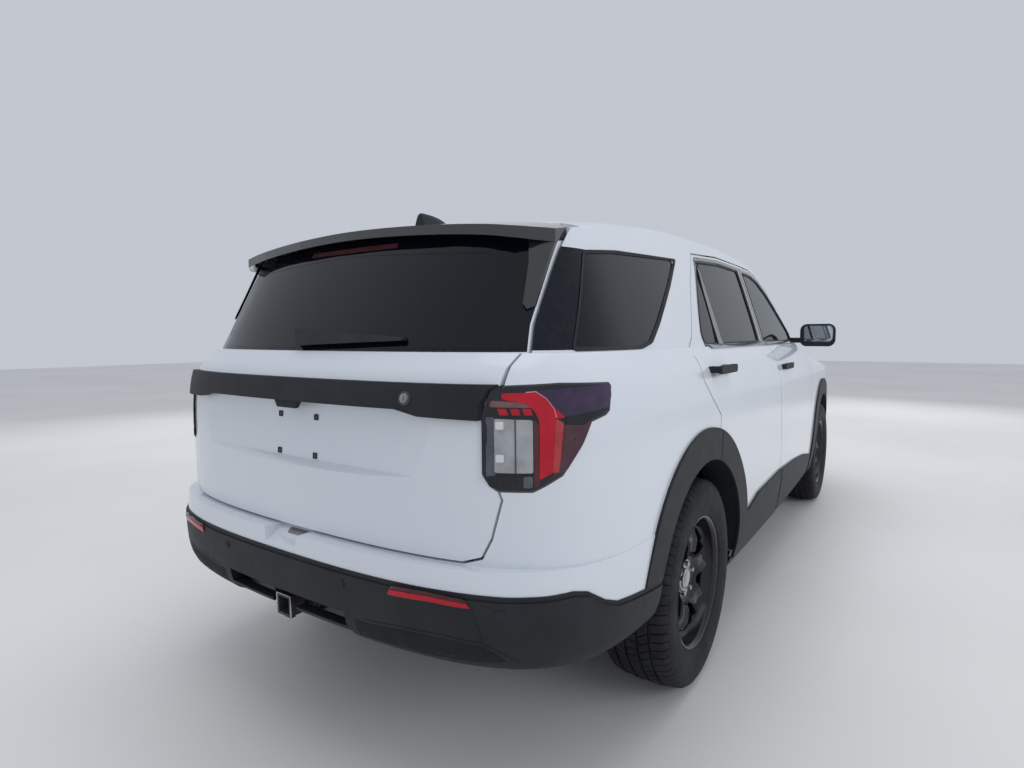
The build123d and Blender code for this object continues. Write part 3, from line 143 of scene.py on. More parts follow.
MATERIALS = {
    # The white paint's base colour is tinted blue: a painted reflection of the blue sky.
    "body_paint": finish("white paint with painted sky tint", ((0.72, 0.76, 0.82), (0.75, 0.785, 0.84)), (1.3, 3.0), (0.3, 0.36),
                         (6.0,),
                         (0.00004, 0.35), (260.0, 1.0), Metallic=0.0, Specular_IOR_Level=0.5, Coat_Weight=1.0,
                         Coat_Roughness=0.03, Coat_IOR=1.5),
    "textured_black_plastic": plastic("grained plastic", (0.014, 0.016, 0.02), (0.021, 0.023, 0.028)),
    "gloss_black_plastic": gloss_black(),
    # The side glass is dark and near opaque: its own tint plus painted shade of the cabin behind it.
    "clear_glass": glass("side glass", (0.006, 0.013, 0.018), 0.86),
    "privacy_glass": glass("privacy glass", (0.002, 0.004, 0.009), 0.94),
    "windscreen": glass("windscreen glass", (0.01, 0.018, 0.02), 0.38),
    "chassis_metal": metal("chassis black", (0.02, 0.02, 0.021), (0.045, 0.044, 0.043), (0.4, 0.6), 0.0),
    "floor_metal": metal("underbody coat", (0.03, 0.03, 0.032), (0.06, 0.06, 0.062), (0.55, 0.75), 0.0),
    "tyre_rubber": finish("tyre rubber", ((0.012, 0.012, 0.014), (0.024, 0.024, 0.027)), (18.0, 5.0),
                          (0.58, 0.76), (60.0, 3.0), (0.00018, 0.7), (900.0, 3.0), Specular_IOR_Level=0.25),
    "wheel_black": metal("wheel black", (0.008, 0.008, 0.009), (0.015, 0.015, 0.016), (0.14, 0.22), 0.0),
    "seat_cloth": finish("seat cloth", ((0.022, 0.022, 0.024), (0.05, 0.05, 0.054)), (30.0, 5.0),
                         (0.82, 0.95),
                         (40.0,), (0.0004, 0.7), (1600.0,), Sheen_Weight=0.25, Sheen_Roughness=0.5,
                         Specular_IOR_Level=0.2),
    "dash_plastic": plastic("dash plastic", (0.02, 0.02, 0.022), (0.03, 0.03, 0.033), (0.6, 0.75)),
    "lamp_lens": gloss_black(),
    "headlamp_lens": gloss_black(),
    "brushed_steel": metal("dull steel", (0.28, 0.27, 0.26), (0.42, 0.41, 0.4), (0.35, 0.5)),
    "cast_metal": metal("cast aluminium", (0.32, 0.32, 0.33), (0.5, 0.5, 0.51), (0.45, 0.6)),
}
for entry in frame["record"]["subparts"]:
    surface = nodes[entry["node"]].data.materials
    surface.clear()
    surface.append(MATERIALS["windscreen" if entry["node"] == "windscreen" else entry["material_slot"]])

# Looks of the scene's own pieces: each is a material, paired with the name of a slot.
LOOKS = {look: (MATERIALS[slot], slot) for look, slot in (
    ("grain", "textured_black_plastic"), ("gloss", "gloss_black_plastic"), ("dark", "chassis_metal"),
    ("inner", "dash_plastic"), ("cloth", "seat_cloth"), ("steel", "brushed_steel"), ("rubber", "tyre_rubber"),
    ("wheel", "wheel_black"))}
BRIGHT = metal("bright steel", (0.5, 0.5, 0.5), (0.68, 0.68, 0.68), (0.14, 0.24))
SEAL = plastic("window seal", (0.012, 0.012, 0.013), (0.018, 0.018, 0.019), (0.45, 0.6), 0.00006)
LINING = plastic("roof lining", (0.2, 0.2, 0.2), (0.25, 0.25, 0.245), (0.85, 0.95), 0.0004)
LOOKS.update({
    "bright": (BRIGHT, "brushed_steel"),
    "hub": (BRIGHT, "wheel_black"),
    "collar": (BRIGHT, "chassis_metal"),
    "dash_metal": (BRIGHT, "dash_plastic"),
    "dash_gloss": (MATERIALS["gloss_black_plastic"], "dash_plastic"),
    "seal": (SEAL, "textured_black_plastic"),
    "window_seal": (SEAL, "gloss_black_plastic"),
    "roof": (LINING, "seat_cloth"),
    "tank": (LINING, "textured_black_plastic"),
    "sensor": (MATERIALS["dash_plastic"], "textured_black_plastic"),
    "sensor_ring": (MATERIALS["textured_black_plastic"], None),
    "lock_recess": (MATERIALS["gloss_black_plastic"], None),
    "frit": (glass("glass border", (0.002, 0.003, 0.006), 1.0), "gloss_black_plastic"),
    "mirror": (metal("mirror glass", (0.55, 0.6, 0.66), (0.6, 0.65, 0.7), (0.02, 0.04), 1.0, 30.0),
               "gloss_black_plastic"),
    "liner": (plastic("wheel liner", (0.01, 0.011, 0.013), (0.016, 0.017, 0.02), (0.7, 0.85), 0.0003),
              "textured_black_plastic"),
    "carpet": (plastic("carpet", (0.012, 0.012, 0.013), (0.03, 0.03, 0.032), (0.9, 1.0), 0.0012),
               "seat_cloth"),
    "dial": (plastic("dial face", (0.02, 0.022, 0.026), (0.035, 0.038, 0.045), (0.3, 0.4), 0.00002),
             "dash_plastic"),
})
RIB = 260.0
for look, name, dark, light, ribs in (
    ("clear", "ribbed clear lens", (0.36, 0.37, 0.39), (0.5, 0.51, 0.53), RIB),
    ("pale", "pale lens", (0.7, 0.7, 0.72), (0.8, 0.8, 0.82), 0.0),
    ("grey", "grey lens", (0.07, 0.08, 0.095), (0.1, 0.11, 0.13), 0.0),
    ("red", "red lens", (0.42, 0.0005, 0.012), (0.52, 0.001, 0.018), 0.0),
    # The rose lens carries a painted highlight: the pale strip along the tail lamp's outer curve.
    ("rose", "rose lens", (0.62, 0.16, 0.24), (0.72, 0.24, 0.32), 0.0),
    ("warm_red", "warm red lens", (0.36, 0.035, 0.035), (0.46, 0.05, 0.05), 0.0),
    ("deep_red", "deep red lens", (0.075, 0.01, 0.016), (0.11, 0.016, 0.024), RIB),
    ("violet", "smoked violet lens", (0.026, 0.018, 0.05), (0.05, 0.026, 0.07), 0.0),
    ("brown", "smoked brown lens", (0.06, 0.022, 0.032), (0.085, 0.034, 0.046), 0.0),
    ("strip", "brown strip lens", (0.16, 0.075, 0.075), (0.22, 0.1, 0.1), 0.0),
    ("smoke", "smoked lens", (0.01, 0.01, 0.016), (0.016, 0.016, 0.024), 0.0),
    ("bezel", "lamp bezel", (0.006, 0.007, 0.011), (0.01, 0.011, 0.016), 0.0),
):
    LOOKS[look] = (lens(name, dark, light, ribs), "lamp_lens")
for look in ("bezel", "clear", "pale"):
    LOOKS["head_" + look] = (LOOKS[look][0], "headlamp_lens")


# ---- mesh helpers
def piece(name, vertices, faces, look, body="body", sharp=32.0):
    """A shown mesh that rides on a CAD body; edges sharper than an angle in degrees stay hard."""
    material, slot = LOOKS[look]
    mesh = bpy.data.meshes.new(name)
    mesh.from_pydata([tuple(v) for v in vertices], [], faces)
    mesh.validate()
    bm = bmesh.new()
    bm.from_mesh(mesh)
    bmesh.ops.remove_doubles(bm, verts=bm.verts, dist=1e-6)
    bmesh.ops.recalc_face_normals(bm, faces=bm.faces)
    bm.to_mesh(mesh)
    bm.free()
    mesh.materials.append(material)
    for face in mesh.polygons:
        face.use_smooth = True
    mesh.set_sharp_from_angle(angle=math.radians(sharp))
    shape = bpy.data.objects.new(name, mesh)
    scene.collection.objects.link(shape)
    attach(shape, body)
    return shape


class Shape:
    """Vertices and faces of one piece while it is put together."""

    def __init__(self):
        self.vertices = []
        self.faces = []

    def grid(self, rows, wrap=False, loop=False):
        """Faces between rows of points; wrap joins the last row to the first, loop closes each row."""
        start = len(self.vertices)
        count, width = len(rows), len(rows[0])
        for row in rows:
            self.vertices += row
        for i in range(count if wrap else count - 1):
            for j in range(width if loop else width - 1):
                a, b = start + i * width, start + (i + 1) % count * width
                k = (j + 1) % width
                self.faces.append((a + j, a + k, b + k, b + j))
        return self

    def caps(self, *rings):
        """One face over each ring of points."""
        for ring in rings:
            start = len(self.vertices)
            self.vertices += ring
            self.faces.append(tuple(range(start, start + len(ring))))
        return self

    def turned(self, profile, place, segments, closed=True):
        """Profile of (radius, offset) turned about an axis; place(radius, turn, offset) gives the points."""
        rows = [[place(r, math.tau * i / segments, d) for r, d in profile] for i in range(segments)]
        return self.grid(rows, wrap=True, loop=closed)

    def made(self, name, look, body="body", sharp=32.0):
        return piece(name, self.vertices, self.faces, look, body, sharp)


def leaned(bm, name, look, sharp, lean, about):
    """The piece of an edited mesh, leaned back in degrees about the Y axis through a point."""
    if lean:
        turn = Matrix.Rotation(-math.radians(lean), 3, "Y")
        bmesh.ops.rotate(bm, verts=bm.verts[:], cent=Vector(about), matrix=turn)
    bm.verts.index_update()
    vertices = [v.co.copy() for v in bm.verts]
    faces = [tuple(v.index for v in face.verts) for face in bm.faces]
    bm.free()
    return piece(name, vertices, faces, look, sharp=sharp)


def block(name, low, high, look, soft, lean=0.0, about=None):
    """Box with edges softened by a radius."""
    bm = bmesh.new()
    bmesh.ops.create_cube(bm, size=1.0)
    low, high = Vector(low), Vector(high)
    size = high - low
    for v in bm.verts:
        v.co = Vector(v.co[i] * size[i] for i in range(3)) + (low + high) / 2
    soft = min(soft, 0.45 * min(size))
    bmesh.ops.bevel(bm, geom=bm.edges[:], offset=soft, segments=3, affect="EDGES", profile=0.6)
    return leaned(bm, name, look, 40.0, lean, about)


def tube(name, line, radius, look, body="body", around=12, closed=False):
    """Round bar or hose along a line of points."""
    line = [Vector(p) for p in line]
    count = len(line)
    turns = [math.tau * k / around for k in range(around)]
    rows, across = [], None
    for i, here in enumerate(line):
        before = line[i - 1] if closed or i else here
        after = line[(i + 1) % count] if closed or i < count - 1 else here
        along = (after - before).normalized()
        if across is None:
            across = along.orthogonal().normalized()
        across = (across - along * across.dot(along)).normalized()
        up = along.cross(across)
        rows.append([here + (across * math.cos(a) + up * math.sin(a)) * radius for a in turns])
    shape = Shape().grid(rows, wrap=closed, loop=True)
    if not closed:
        shape.caps(rows[0], rows[-1])
    return shape.made(name, look, body, 50.0)


def curved(points, steps=6):
    """Smooth line through points."""
    line = []
    points = [Vector(p) for p in points]
    for i in range(len(points) - 1):
        p0, p1, p2, p3 = (points[max(0, min(len(points) - 1, i + k))] for k in (-1, 0, 1, 2))
        for k in range(steps):
            t = k / steps
            line.append(0.5 * (2 * p1 + (p2 - p0) * t + (2 * p0 - 5 * p1 + 4 * p2 - p3) * t * t
                               + (3 * p1 - p0 - 3 * p2 + p3) * t ** 3))
    return line + [points[-1]]


def disc(name, centre, axis, radius, thick, look, body="body", edge=0.0015):
    """Flat round piece standing on a point, out along an axis."""
    axis = Vector(axis).normalized()
    first = axis.orthogonal().normalized()
    second = axis.cross(first)
    centre = Vector(centre)

    def place(r, turn, height):
        return centre + (first * math.cos(turn) + second * math.sin(turn)) * r + axis * height

    profile = [(radius, 0.0), (radius, thick - edge), (radius - edge, thick), (0.0, thick)]
    return Shape().turned(profile, place, 32, closed=False).made(name, look, body, 35.0)


# ---- thin pieces laid on the body
def divided(ring, step):
    """The ring with points added so that none of its sides is longer than a step."""
    points = []
    for a, b in zip(ring, ring[1:] + ring[:1]):
        count = max(1, math.ceil(math.dist(a, b) / step))
        points += [(a[0] + (b[0] - a[0]) * k / count, a[1] + (b[1] - a[1]) * k / count) for k in range(count)]
    return points


def inside(point, ring):
    """Whether a point lies inside a ring of points."""
    x, y = point
    found = False
    for (x0, y0), (x1, y1) in zip(ring, ring[1:] + ring[:1]):
        if (y0 > y) != (y1 > y) and x < x0 + (y - y0) * (x1 - x0) / (y1 - y0):
            found = not found
    return found


def grown(ring, distance):
    """The ring with its sides moved outwards by a distance."""
    area = sum(a[0] * b[1] - b[0] * a[1] for a, b in zip(ring, ring[1:] + ring[:1]))
    turn = 1.0 if area > 0 else -1.0
    points = []
    for before, here, after in zip(ring[-1:] + ring[:-1], ring, ring[1:] + ring[:1]):
        first = Vector((here[0] - before[0], here[1] - before[1])).normalized()
        second = Vector((after[0] - here[0], after[1] - here[1])).normalized()
        out = Vector((first.y + second.y, -first.x - second.x)).normalized() * turn
        reach = distance / max(0.35, out.dot(Vector((first.y, -first.x))) * turn)
        points.append((here[0] + out.x * reach, here[1] + out.y * reach))
    return points


def rounded(ring, radius, steps=5):
    """The ring with its corners rounded off."""
    points = []
    for before, here, after in zip(ring[-1:] + ring[:-1], ring, ring[1:] + ring[:1]):
        cut_before = min(radius, 0.45 * math.dist(before, here)) / math.dist(before, here)
        cut_after = min(radius, 0.45 * math.dist(after, here)) / math.dist(after, here)
        for k in range(steps + 1):
            t = k / steps
            weights = (1 - t) ** 2 * cut_before, t * t * cut_after
            points.append(tuple(c + (b - c) * weights[0] + (a - c) * weights[1]
                                for b, c, a in zip(before, here, after)))
    return points


def ribbon(line, width):
    """Outline of a strip of one width along a line of points."""
    left, right = [], []
    for i, here in enumerate(line):
        before, after = line[max(0, i - 1)], line[min(len(line) - 1, i + 1)]
        along = Vector((after[0] - before[0], after[1] - before[1])).normalized() * width / 2
        left.append((here[0] - along.y, here[1] + along.x))
        right.append((here[0] + along.y, here[1] - along.x))
    return left + right[::-1]


def circle(middle, radius, count=24):
    turns = [math.tau * k / count for k in range(count)]
    return [(middle[0] + radius * math.cos(a), middle[1] + radius * math.sin(a)) for a in turns]


def rectangle(low, high):
    return [(low[0], low[1]), (high[0], low[1]), (high[0], high[1]), (low[0], high[1])]


def flat_sheet(outline, holes, step):
    """Points and triangles over an outline with its holes left open."""
    rings = [divided(ring, step) for ring in [outline] + list(holes)]
    points, edges = [], []
    for ring in rings:
        start, count = len(points), len(ring)
        points += [Vector(p) for p in ring]
        edges += [(start + i, start + (i + 1) % count) for i in range(count)]
    border = list(points)
    low = [min(p[i] for p in rings[0]) for i in (0, 1)]
    high = [max(p[i] for p in rings[0]) for i in (0, 1)]
    for i in range(1, int((high[0] - low[0]) / step) + 1):
        for j in range(1, int((high[1] - low[1]) / step) + 1):
            spot = Vector((low[0] + i * step, low[1] + j * step))
            if inside(spot, rings[0]) and not any(inside(spot, ring) for ring in rings[1:]):
                if min((spot - p).length for p in border) > 0.5 * step:
                    points.append(spot)
    flat, _, triangles = delaunay_2d_cdt(points, edges, [], 0, 1e-6)[:3]

    def kept(face):
        middle = sum((flat[k] for k in face), Vector((0, 0))) / 3
        return inside(middle, rings[0]) and not any(inside(middle, ring) for ring in rings[1:])

    return flat, [face for face in triangles if kept(face)]


NUDGES = (0.0, 0.003, 0.008, 0.016, 0.03)
NUDGE_TURNS = 8


class Skin:
    """Surface of some CAD nodes, that thin pieces are laid on along lines of sight."""

    def __init__(self, *names):
        vertices, faces = [], []
        for name in names:
            start = len(vertices)
            vertices += [nodes[name].matrix_world @ v.co for v in nodes[name].data.vertices]
            faces += [[start + k for k in face.vertices] for face in nodes[name].data.polygons]
        self.tree = BVHTree.FromPolygons(vertices, faces)

    def land(self, view, spot):
        """Where the line of sight through a spot or one near it lands, and which way the surface faces."""
        for nudge in NUDGES:
            for turn in range(NUDGE_TURNS if nudge else 1):
                angle = math.tau * turn / NUDGE_TURNS
                start, sight = view(spot[0] + nudge * math.cos(angle), spot[1] + nudge * math.sin(angle))
                place, facing, _, _ = self.tree.ray_cast(start, sight)
                if place is not None:
                    place = view(*spot)[0] + sight * (place - start).dot(sight)
                    return place, (-facing if facing.dot(sight) > 0 else facing)
        return None


def metres(points):
    """Points given in millimetres."""
    return [(a / 1000.0, b / 1000.0) for a, b in points]


def mirrored(ring):
    """The ring (y, z) on each side of the centreline, with the name of the side."""
    return [([(side * y, z) for y, z in ring], end) for side, end in SIDES]


def from_side(side):
    """Lines of sight from beside the vehicle, through points (x, z)."""
    return lambda x, z: (Vector((x, side * 2.5, z)), Vector((0, -side, 0)))


def from_end(heading):
    """Lines of sight from behind (1) or from in front (-1), through points (y, z)."""
    return lambda y, z: (Vector((-5.0 * heading, y, z)), Vector((heading, 0, 0)))


def from_above(x, y):
    """The line of sight straight down through a point (x, y)."""
    return Vector((x, y, 4.0)), Vector((0, 0, -1))


def from_corner(side, heading):
    """Lines of sight square to a corner of the body, through points (distance across it, height)."""
    inward = Vector((heading, -side, 0)).normalized()
    across = Vector((1, side * heading, 0)).normalized()
    return lambda u, z: (across * u - inward * 4.0 + Vector((0, 0, z)), inward)


def laid(name, skin, view, outline, look, fit, body="body", holes=()):
    """Thin piece over an outline, laid on a skin along lines of sight.

    fit is how far it stands out of the skin, how far it reaches in, and the longest side of its triangles.
    """
    lift, sink, step = fit
    flat, triangles = flat_sheet(outline, holes, step)
    landed = [skin.land(view, spot) for spot in flat]
    triangles = [face for face in triangles if all(landed[k] for k in face)]
    order = {k: i for i, k in enumerate(sorted({k for face in triangles for k in face}))}
    triangles = [tuple(order[k] for k in face) for face in triangles]
    landed = [landed[k] for k in order]
    top = [place + facing * lift for place, facing in landed]
    under = [place - facing * sink for place, facing in landed]
    count = len(top)
    sides = [pair for face in triangles for pair in zip(face, face[1:] + face[:1])]
    shared = set(sides)
    walls = [(b, a, a + count, b + count) for a, b in sides if (b, a) not in shared]
    backs = [tuple(k + count for k in reversed(face)) for face in triangles]
    return piece(name, top + under, triangles + walls + backs, look, body)


# ---- wheels and tyres
PITCHES = 72
TREAD_HALF = 0.104
TREAD_DEPTH = 0.0075
CROWN_DROP, CROWN_POWER = 0.0085, 2.6
GROOVE_HALF = 0.0048
GROOVE_SLOPE = 0.0012
GROOVES = (-0.064, -0.022, 0.022, 0.064)


def axle_place(centre, side):
    """Function for the point at a radius and turn about a wheel's axle, offset outboard of its middle."""
    def place(radius, turn, offset):
        return Vector((centre.x + radius * math.sin(turn), centre.y + side * offset,
                       centre.z + radius * math.cos(turn)))
    return place


def tread_columns(outer):
    """Offsets across the tread as (offset, radius, how deep, kind of rib)."""
    def crown(y):
        return outer - CROWN_DROP * (abs(y) / TREAD_HALF) ** CROWN_POWER

    columns = []
    edges = [g for groove in GROOVES for g in (groove - GROOVE_HALF, groove + GROOVE_HALF)]
    edges = [-TREAD_HALF] + edges + [TREAD_HALF]
    for rib in range(5):
        low, high = edges[2 * rib], edges[2 * rib + 1]
        kind = "shoulder" if rib in (0, 4) else "middle" if rib == 2 else "inner"
        for k in range(4):
            y = low + (high - low) * k / 3
            columns.append((y, crown(y), 0.0, kind))
        if rib < 4:
            for y in (high + GROOVE_SLOPE, edges[2 * rib + 2] - GROOVE_SLOPE):
                columns.append((y, crown(y), TREAD_DEPTH, "groove"))
    return columns


SIDEWALL = [
    (0.1135, 0.3655), (0.119, 0.356), (0.1215, 0.347), (0.1222, 0.346), (0.124, 0.34),
    (0.1262, 0.324), (0.127, 0.308), (0.1262, 0.293), (0.125, 0.284), (0.1258, 0.2828),
    (0.124, 0.274), (0.1205, 0.262), (0.118, 0.256), (0.1192, 0.2545), (0.1178, 0.249),
    (0.112, 0.244), (0.108, 0.24), (0.1, 0.231),
]
SHOULDER_POINTS = 2
TYRE_INSIDE = [(0.09, 0.233), (0.112, 0.26), (0.114, 0.33), (0.098, 0.36), (0.0, 0.368)]
# Depth of the cross cuts in each kind of rib, their slant, and their profile over one pitch of the tread.
NOTCH = {"shoulder": 0.0055, "inner": 0.005, "middle": 0.0028, "groove": 0.0, "wall": 0.0}
SLANT_REACH = 0.03
SLANT = {"shoulder": 0.1, "inner": 0.55, "middle": -0.3, "groove": 0.0, "wall": 0.0}
SIPE = [(0.0, 0.0), (0.02, 1.0), (0.12, 1.0), (0.14, 0.0), (0.55, 0.0)]


def tyre(corner, side):
    """Tyre with ribs, grooves and cross cuts in place of its plain solid; gives back its middle."""
    low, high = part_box(f"tyre_{corner}")
    centre = (low + high) / 2
    outer = (high.z - low.z) / 2
    place = axle_place(centre, side)
    wall = [(y, r, 0.0, "shoulder" if i < SHOULDER_POINTS else "wall") for i, (y, r) in enumerate(SIDEWALL)]
    columns = [(-y, *rest) for y, *rest in reversed(wall)] + tread_columns(outer) + wall
    lining = TYRE_INSIDE + [(-y, r) for y, r in reversed(TYRE_INSIDE[:-1])]
    columns += [(y, r, 0.0, "wall") for y, r in lining]
    pitch = math.tau / PITCHES
    rows = []
    for i in range(PITCHES):
        for share, cut in SIPE:
            row = []
            for y, r, depth, kind in columns:
                drop = max(depth, NOTCH[kind] * cut)
                turn = pitch * (i + share + SLANT[kind] * abs(y) / SLANT_REACH)
                row.append(place(r - drop, turn, y))
            rows.append(row)
    tread = Shape().grid(rows, wrap=True, loop=True)
    made = tread.made(f"tyre_{corner}_tread", "rubber", f"wheel_{corner}", 38.0)
    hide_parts(f"tyre_{corner}")
    return centre


RIM_BARREL = [
    (0.2405, 0.1115), (0.2425, 0.1085), (0.241, 0.105), (0.233, 0.103), (0.229, 0.098), (0.228, 0.064),
    (0.223, 0.056), (0.206, 0.042), (0.206, -0.06), (0.22, -0.072), (0.229, -0.08), (0.229, -0.098),
    (0.233, -0.103), (0.241, -0.105), (0.242, -0.111), (0.237, -0.112), (0.226, -0.102),
    (0.225, -0.083), (0.202, -0.07), (0.202, 0.043), (0.2185, 0.06), (0.2235, 0.068), (0.2245, 0.096),
    (0.227, 0.104), (0.234, 0.1105),
]
SPOKES = 5
WINDOW_IN, WINDOW_OUT = 0.096, 0.19
WINDOW_SQUARENESS = 0.62
WINDOW_POINTS = 48
WINDOW_HALF_ANGLE, WINDOW_FLARE = 18.5, 5.5
SECTOR_MIDDLE, SECTOR_HALF = 0.142, 0.062
FACE_IN, FACE_OUT, FACE_FADE = 0.094, 0.19, 0.014
DISC_THICK = 0.004


def disc_height(radius):
    """Outboard offset of the wheel disc's face at a radius."""
    stops = [(0.0, 0.052), (0.072, 0.052), (0.084, 0.058), (0.11, 0.08), (0.15, 0.084), (0.185, 0.07),
             (0.205, 0.046), (0.23, 0.044)]
    for (r0, h0), (r1, h1) in zip(stops, stops[1:]):
        if radius <= r1:
            t = (radius - r0) / (r1 - r0)
            t = t * t * (3 - 2 * t)
            return h0 + (h1 - h0) * t
    return stops[-1][1]


def window_edge(turn):
    """Half angle and radius of a point on the outline of a window, for a turn round its middle."""
    c, s = math.cos(turn), math.sin(turn)
    across = math.copysign(abs(s) ** WINDOW_SQUARENESS, s)
    along = math.copysign(abs(c) ** WINDOW_SQUARENESS, c)
    radius = (WINDOW_IN + WINDOW_OUT) / 2 + along * (WINDOW_OUT - WINDOW_IN) / 2
    half = math.radians(WINDOW_HALF_ANGLE + WINDOW_FLARE * along)
    return across * half, radius


def sector_edge(turn):
    """The same for the outline of the whole sector."""
    c, s = math.cos(turn), math.sin(turn)
    reach = 1.0 / max(abs(c), abs(s))
    across = max(-1.0, min(1.0, s * reach))
    along = max(-1.0, min(1.0, c * reach))
    radius = SECTOR_MIDDLE + along * SECTOR_HALF
    return across * math.radians(180.0 / SPOKES), radius


def wheel_disc(place):
    """Pressed disc with a window between each two spokes."""
    steps = [(0.0, -0.016), (0.0, -0.004), (0.02, 0.003), (0.09, 0.006), (0.2, 0.0045), (0.38, -0.002),
             (0.6, -0.005), (0.8, -0.0055), (1.0, -0.0055)]
    shape = Shape()
    for sector in range(SPOKES):
        middle = math.tau * (sector + 0.5) / SPOKES
        rows = []
        for k in range(WINDOW_POINTS):
            turn = math.tau * k / WINDOW_POINTS
            a0, r0 = window_edge(turn)
            a1, r1 = sector_edge(turn)
            row = []
            for share, lift in steps:
                angle, radius = a0 + (a1 - a0) * share, r0 + (r1 - r0) * share
                fade = 1.0 - max(0.0, (radius - FACE_OUT) / FACE_FADE)
                fade *= 1.0 - max(0.0, (FACE_IN - radius) / FACE_FADE)
                row.append(place(radius, middle + angle, disc_height(radius) + lift * max(0.0, fade)))
            rows.append(row)
        shape.grid(rows, wrap=True)
    ring = [(0.08, disc_height(0.08)), (0.076, 0.0535), (0.07, 0.052), (0.034, 0.052)]
    shape.turned(ring, place, SPOKES * WINDOW_POINTS, closed=False)
    return shape


def wheel(corner, side, centre):
    """Black steel wheel with bright hub cover, nuts, valve and brake disc."""
    place = axle_place(centre, side)
    body = f"wheel_{corner}"
    barrel = Shape().turned(RIM_BARREL, place, 128).made(f"rim_{corner}", "wheel", body)
    pressing = wheel_disc(place).made(f"wheel_disc_{corner}", "wheel", body, 50.0)
    thicken = pressing.modifiers.new("sheet", "SOLIDIFY")
    thicken.thickness = DISC_THICK
    thicken.offset = -1.0
    hub = Shape().turned([(0.0, 0.064), (0.032, 0.066), (0.037, 0.063), (0.038, 0.058), (0.044, 0.0585),
                          (0.068, 0.0585), (0.0715, 0.056), (0.0715, 0.0525), (0.0, 0.05)], place, 64)
    hub.made(f"hub_cover_{corner}", "hub", body)
    nuts = Shape()
    for k in range(SPOKES):
        turn = math.tau * k / SPOKES
        middle = place(0.0572, turn, 0.0)
        for radius, low, high, tip in ((0.0105, 0.0535, 0.072, 0.0095), (0.0135, 0.0535, 0.0575, 0.0115)):
            ring = []
            for height, size in ((low, radius), (high - 0.003, radius), (high, tip)):
                ring.append([middle + Vector((size * math.sin(math.tau * i / 6), side * height,
                                              size * math.cos(math.tau * i / 6))) for i in range(6)])
            nuts.grid(ring, loop=True).caps(ring[-1])
    nuts.made(f"wheel_nuts_{corner}", "hub", body)
    rotor = Shape().turned([(0.06, -0.002), (0.092, 0.01), (0.092, 0.012), (0.166, 0.012), (0.168, 0.01),
                            (0.168, -0.014), (0.166, -0.016), (0.092, -0.016), (0.06, -0.01)], place, 96)
    rotor.made(f"brake_disc_{corner}", "steel", body)
    stem = place(0.214, math.pi / SPOKES, 0.06)
    tip = place(0.2, math.pi / SPOKES, 0.096)
    along = (tip - stem).normalized()
    across = along.orthogonal().normalized()
    up = along.cross(across)
    rows = [[stem + (tip - stem) * t + (across * math.cos(a) + up * math.sin(a)) * r
             for a in [math.tau * i / 12 for i in range(12)]]
            for t, r in ((0.0, 0.0052), (0.55, 0.004), (0.6, 0.0032), (0.95, 0.0032), (1.0, 0.0018))]
    Shape().grid(rows, loop=True).caps(rows[-1]).made(f"valve_{corner}", "rubber", body)
    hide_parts(f"wheel_{corner}")


for axle in ("front", "rear"):
    for side, end in reversed(SIDES):
        corner = f"{axle}_{end}"
        wheel(corner, side, tyre(corner, side))

# ---- windows and door frames
FRONT_WINDOW = metres([(-95, 1254), (-95, 1632), (100, 1628), (236, 1602), (405, 1530), (585, 1418),
                       (765, 1303), (790, 1252)])
REAR_WINDOW = metres([(-222, 1256), (-208, 1634), (-560, 1634), (-922, 1613), (-1000, 1530), (-1095, 1410),
                      (-1146, 1336), (-1166, 1296), (-1160, 1268), (-1128, 1252)])
QUARTER_WINDOW = metres([(-1215, 1592), (-1376, 1475), (-1590, 1333), (-1700, 1268), (-1790, 1251),
                         (-2141, 1251), (-1988, 1540), (-1775, 1562)])
FRONT_FRAME = metres([(-137, 1240), (-137, 1658), (100, 1654), (248, 1630), (415, 1556), (595, 1446),
                      (795, 1321), (845, 1240)])
REAR_FRAME = metres([(-154, 1240), (-154, 1658), (-560, 1658), (-948, 1634), (-1012, 1540), (-1106, 1416),
                     (-1156, 1340), (-1179, 1298), (-1172, 1258), (-1140, 1238)])
WINDOW_BAR = metres([(-907, 1250), (-922, 1620), (-944, 1620), (-976, 1250)])
GATE_GLASS = metres([(-728, 1256), (728, 1256), (718, 1320), (718, 1553), (712, 1590), (640, 1599), (0, 1621),
                     (-640, 1599), (-712, 1590), (-718, 1553), (-718, 1320)])
GATE_WINDOW = metres([(-625, 1296), (625, 1296), (600, 1530), (0, 1560), (-600, 1530)])
BELT_LOW, BELT_HIGH = 1.236, 1.252
ROOT = 0.003
ahead, behind = from_end(-1), from_end(1)

for side, end in SIDES:
    view = from_side(side)
    for door, surround, window in (("front", FRONT_FRAME, FRONT_WINDOW), ("rear", REAR_FRAME, REAR_WINDOW)):
        body = f"door_{door}_{end}"
        skin = Skin(body, f"glass_{door}_{end}")
        laid(f"window_frame_{door}_{end}", skin, view, rounded(surround, 0.012), "gloss",
             (0.0016, ROOT, 0.03), body, [rounded(grown(window, 0.001), 0.016)])
        laid(f"window_seal_{door}_{end}", skin, view, rounded(grown(window, 0.006), 0.02), "window_seal",
             (0.0034, ROOT, 0.02), body, [rounded(grown(window, -0.006), 0.014)])
        foot = [x for x, z in surround if z < BELT_HIGH]
        laid(f"belt_strip_{door}_{end}", skin, view, rectangle((min(foot), BELT_LOW), (max(foot), BELT_HIGH)),
             "gloss", (0.006, ROOT, 0.03), body)
    laid(f"window_bar_{end}", skin, view, WINDOW_BAR, "gloss", (0.004, ROOT, 0.03), body)
    laid(f"quarter_seal_{end}", Skin(f"body_side_{end}", "fixed_glass"), view,
         rounded(grown(QUARTER_WINDOW, 0.004), 0.02), "window_seal", (0.003, ROOT, 0.02),
         holes=[rounded(grown(QUARTER_WINDOW, -0.007), 0.014)])
laid("gate_glass_frit", Skin("liftgate", "liftgate_glass"), behind, rounded(GATE_GLASS, 0.02), "frit",
     (0.0008, 0.001, 0.03), "liftgate", [rounded(GATE_WINDOW, 0.05)])

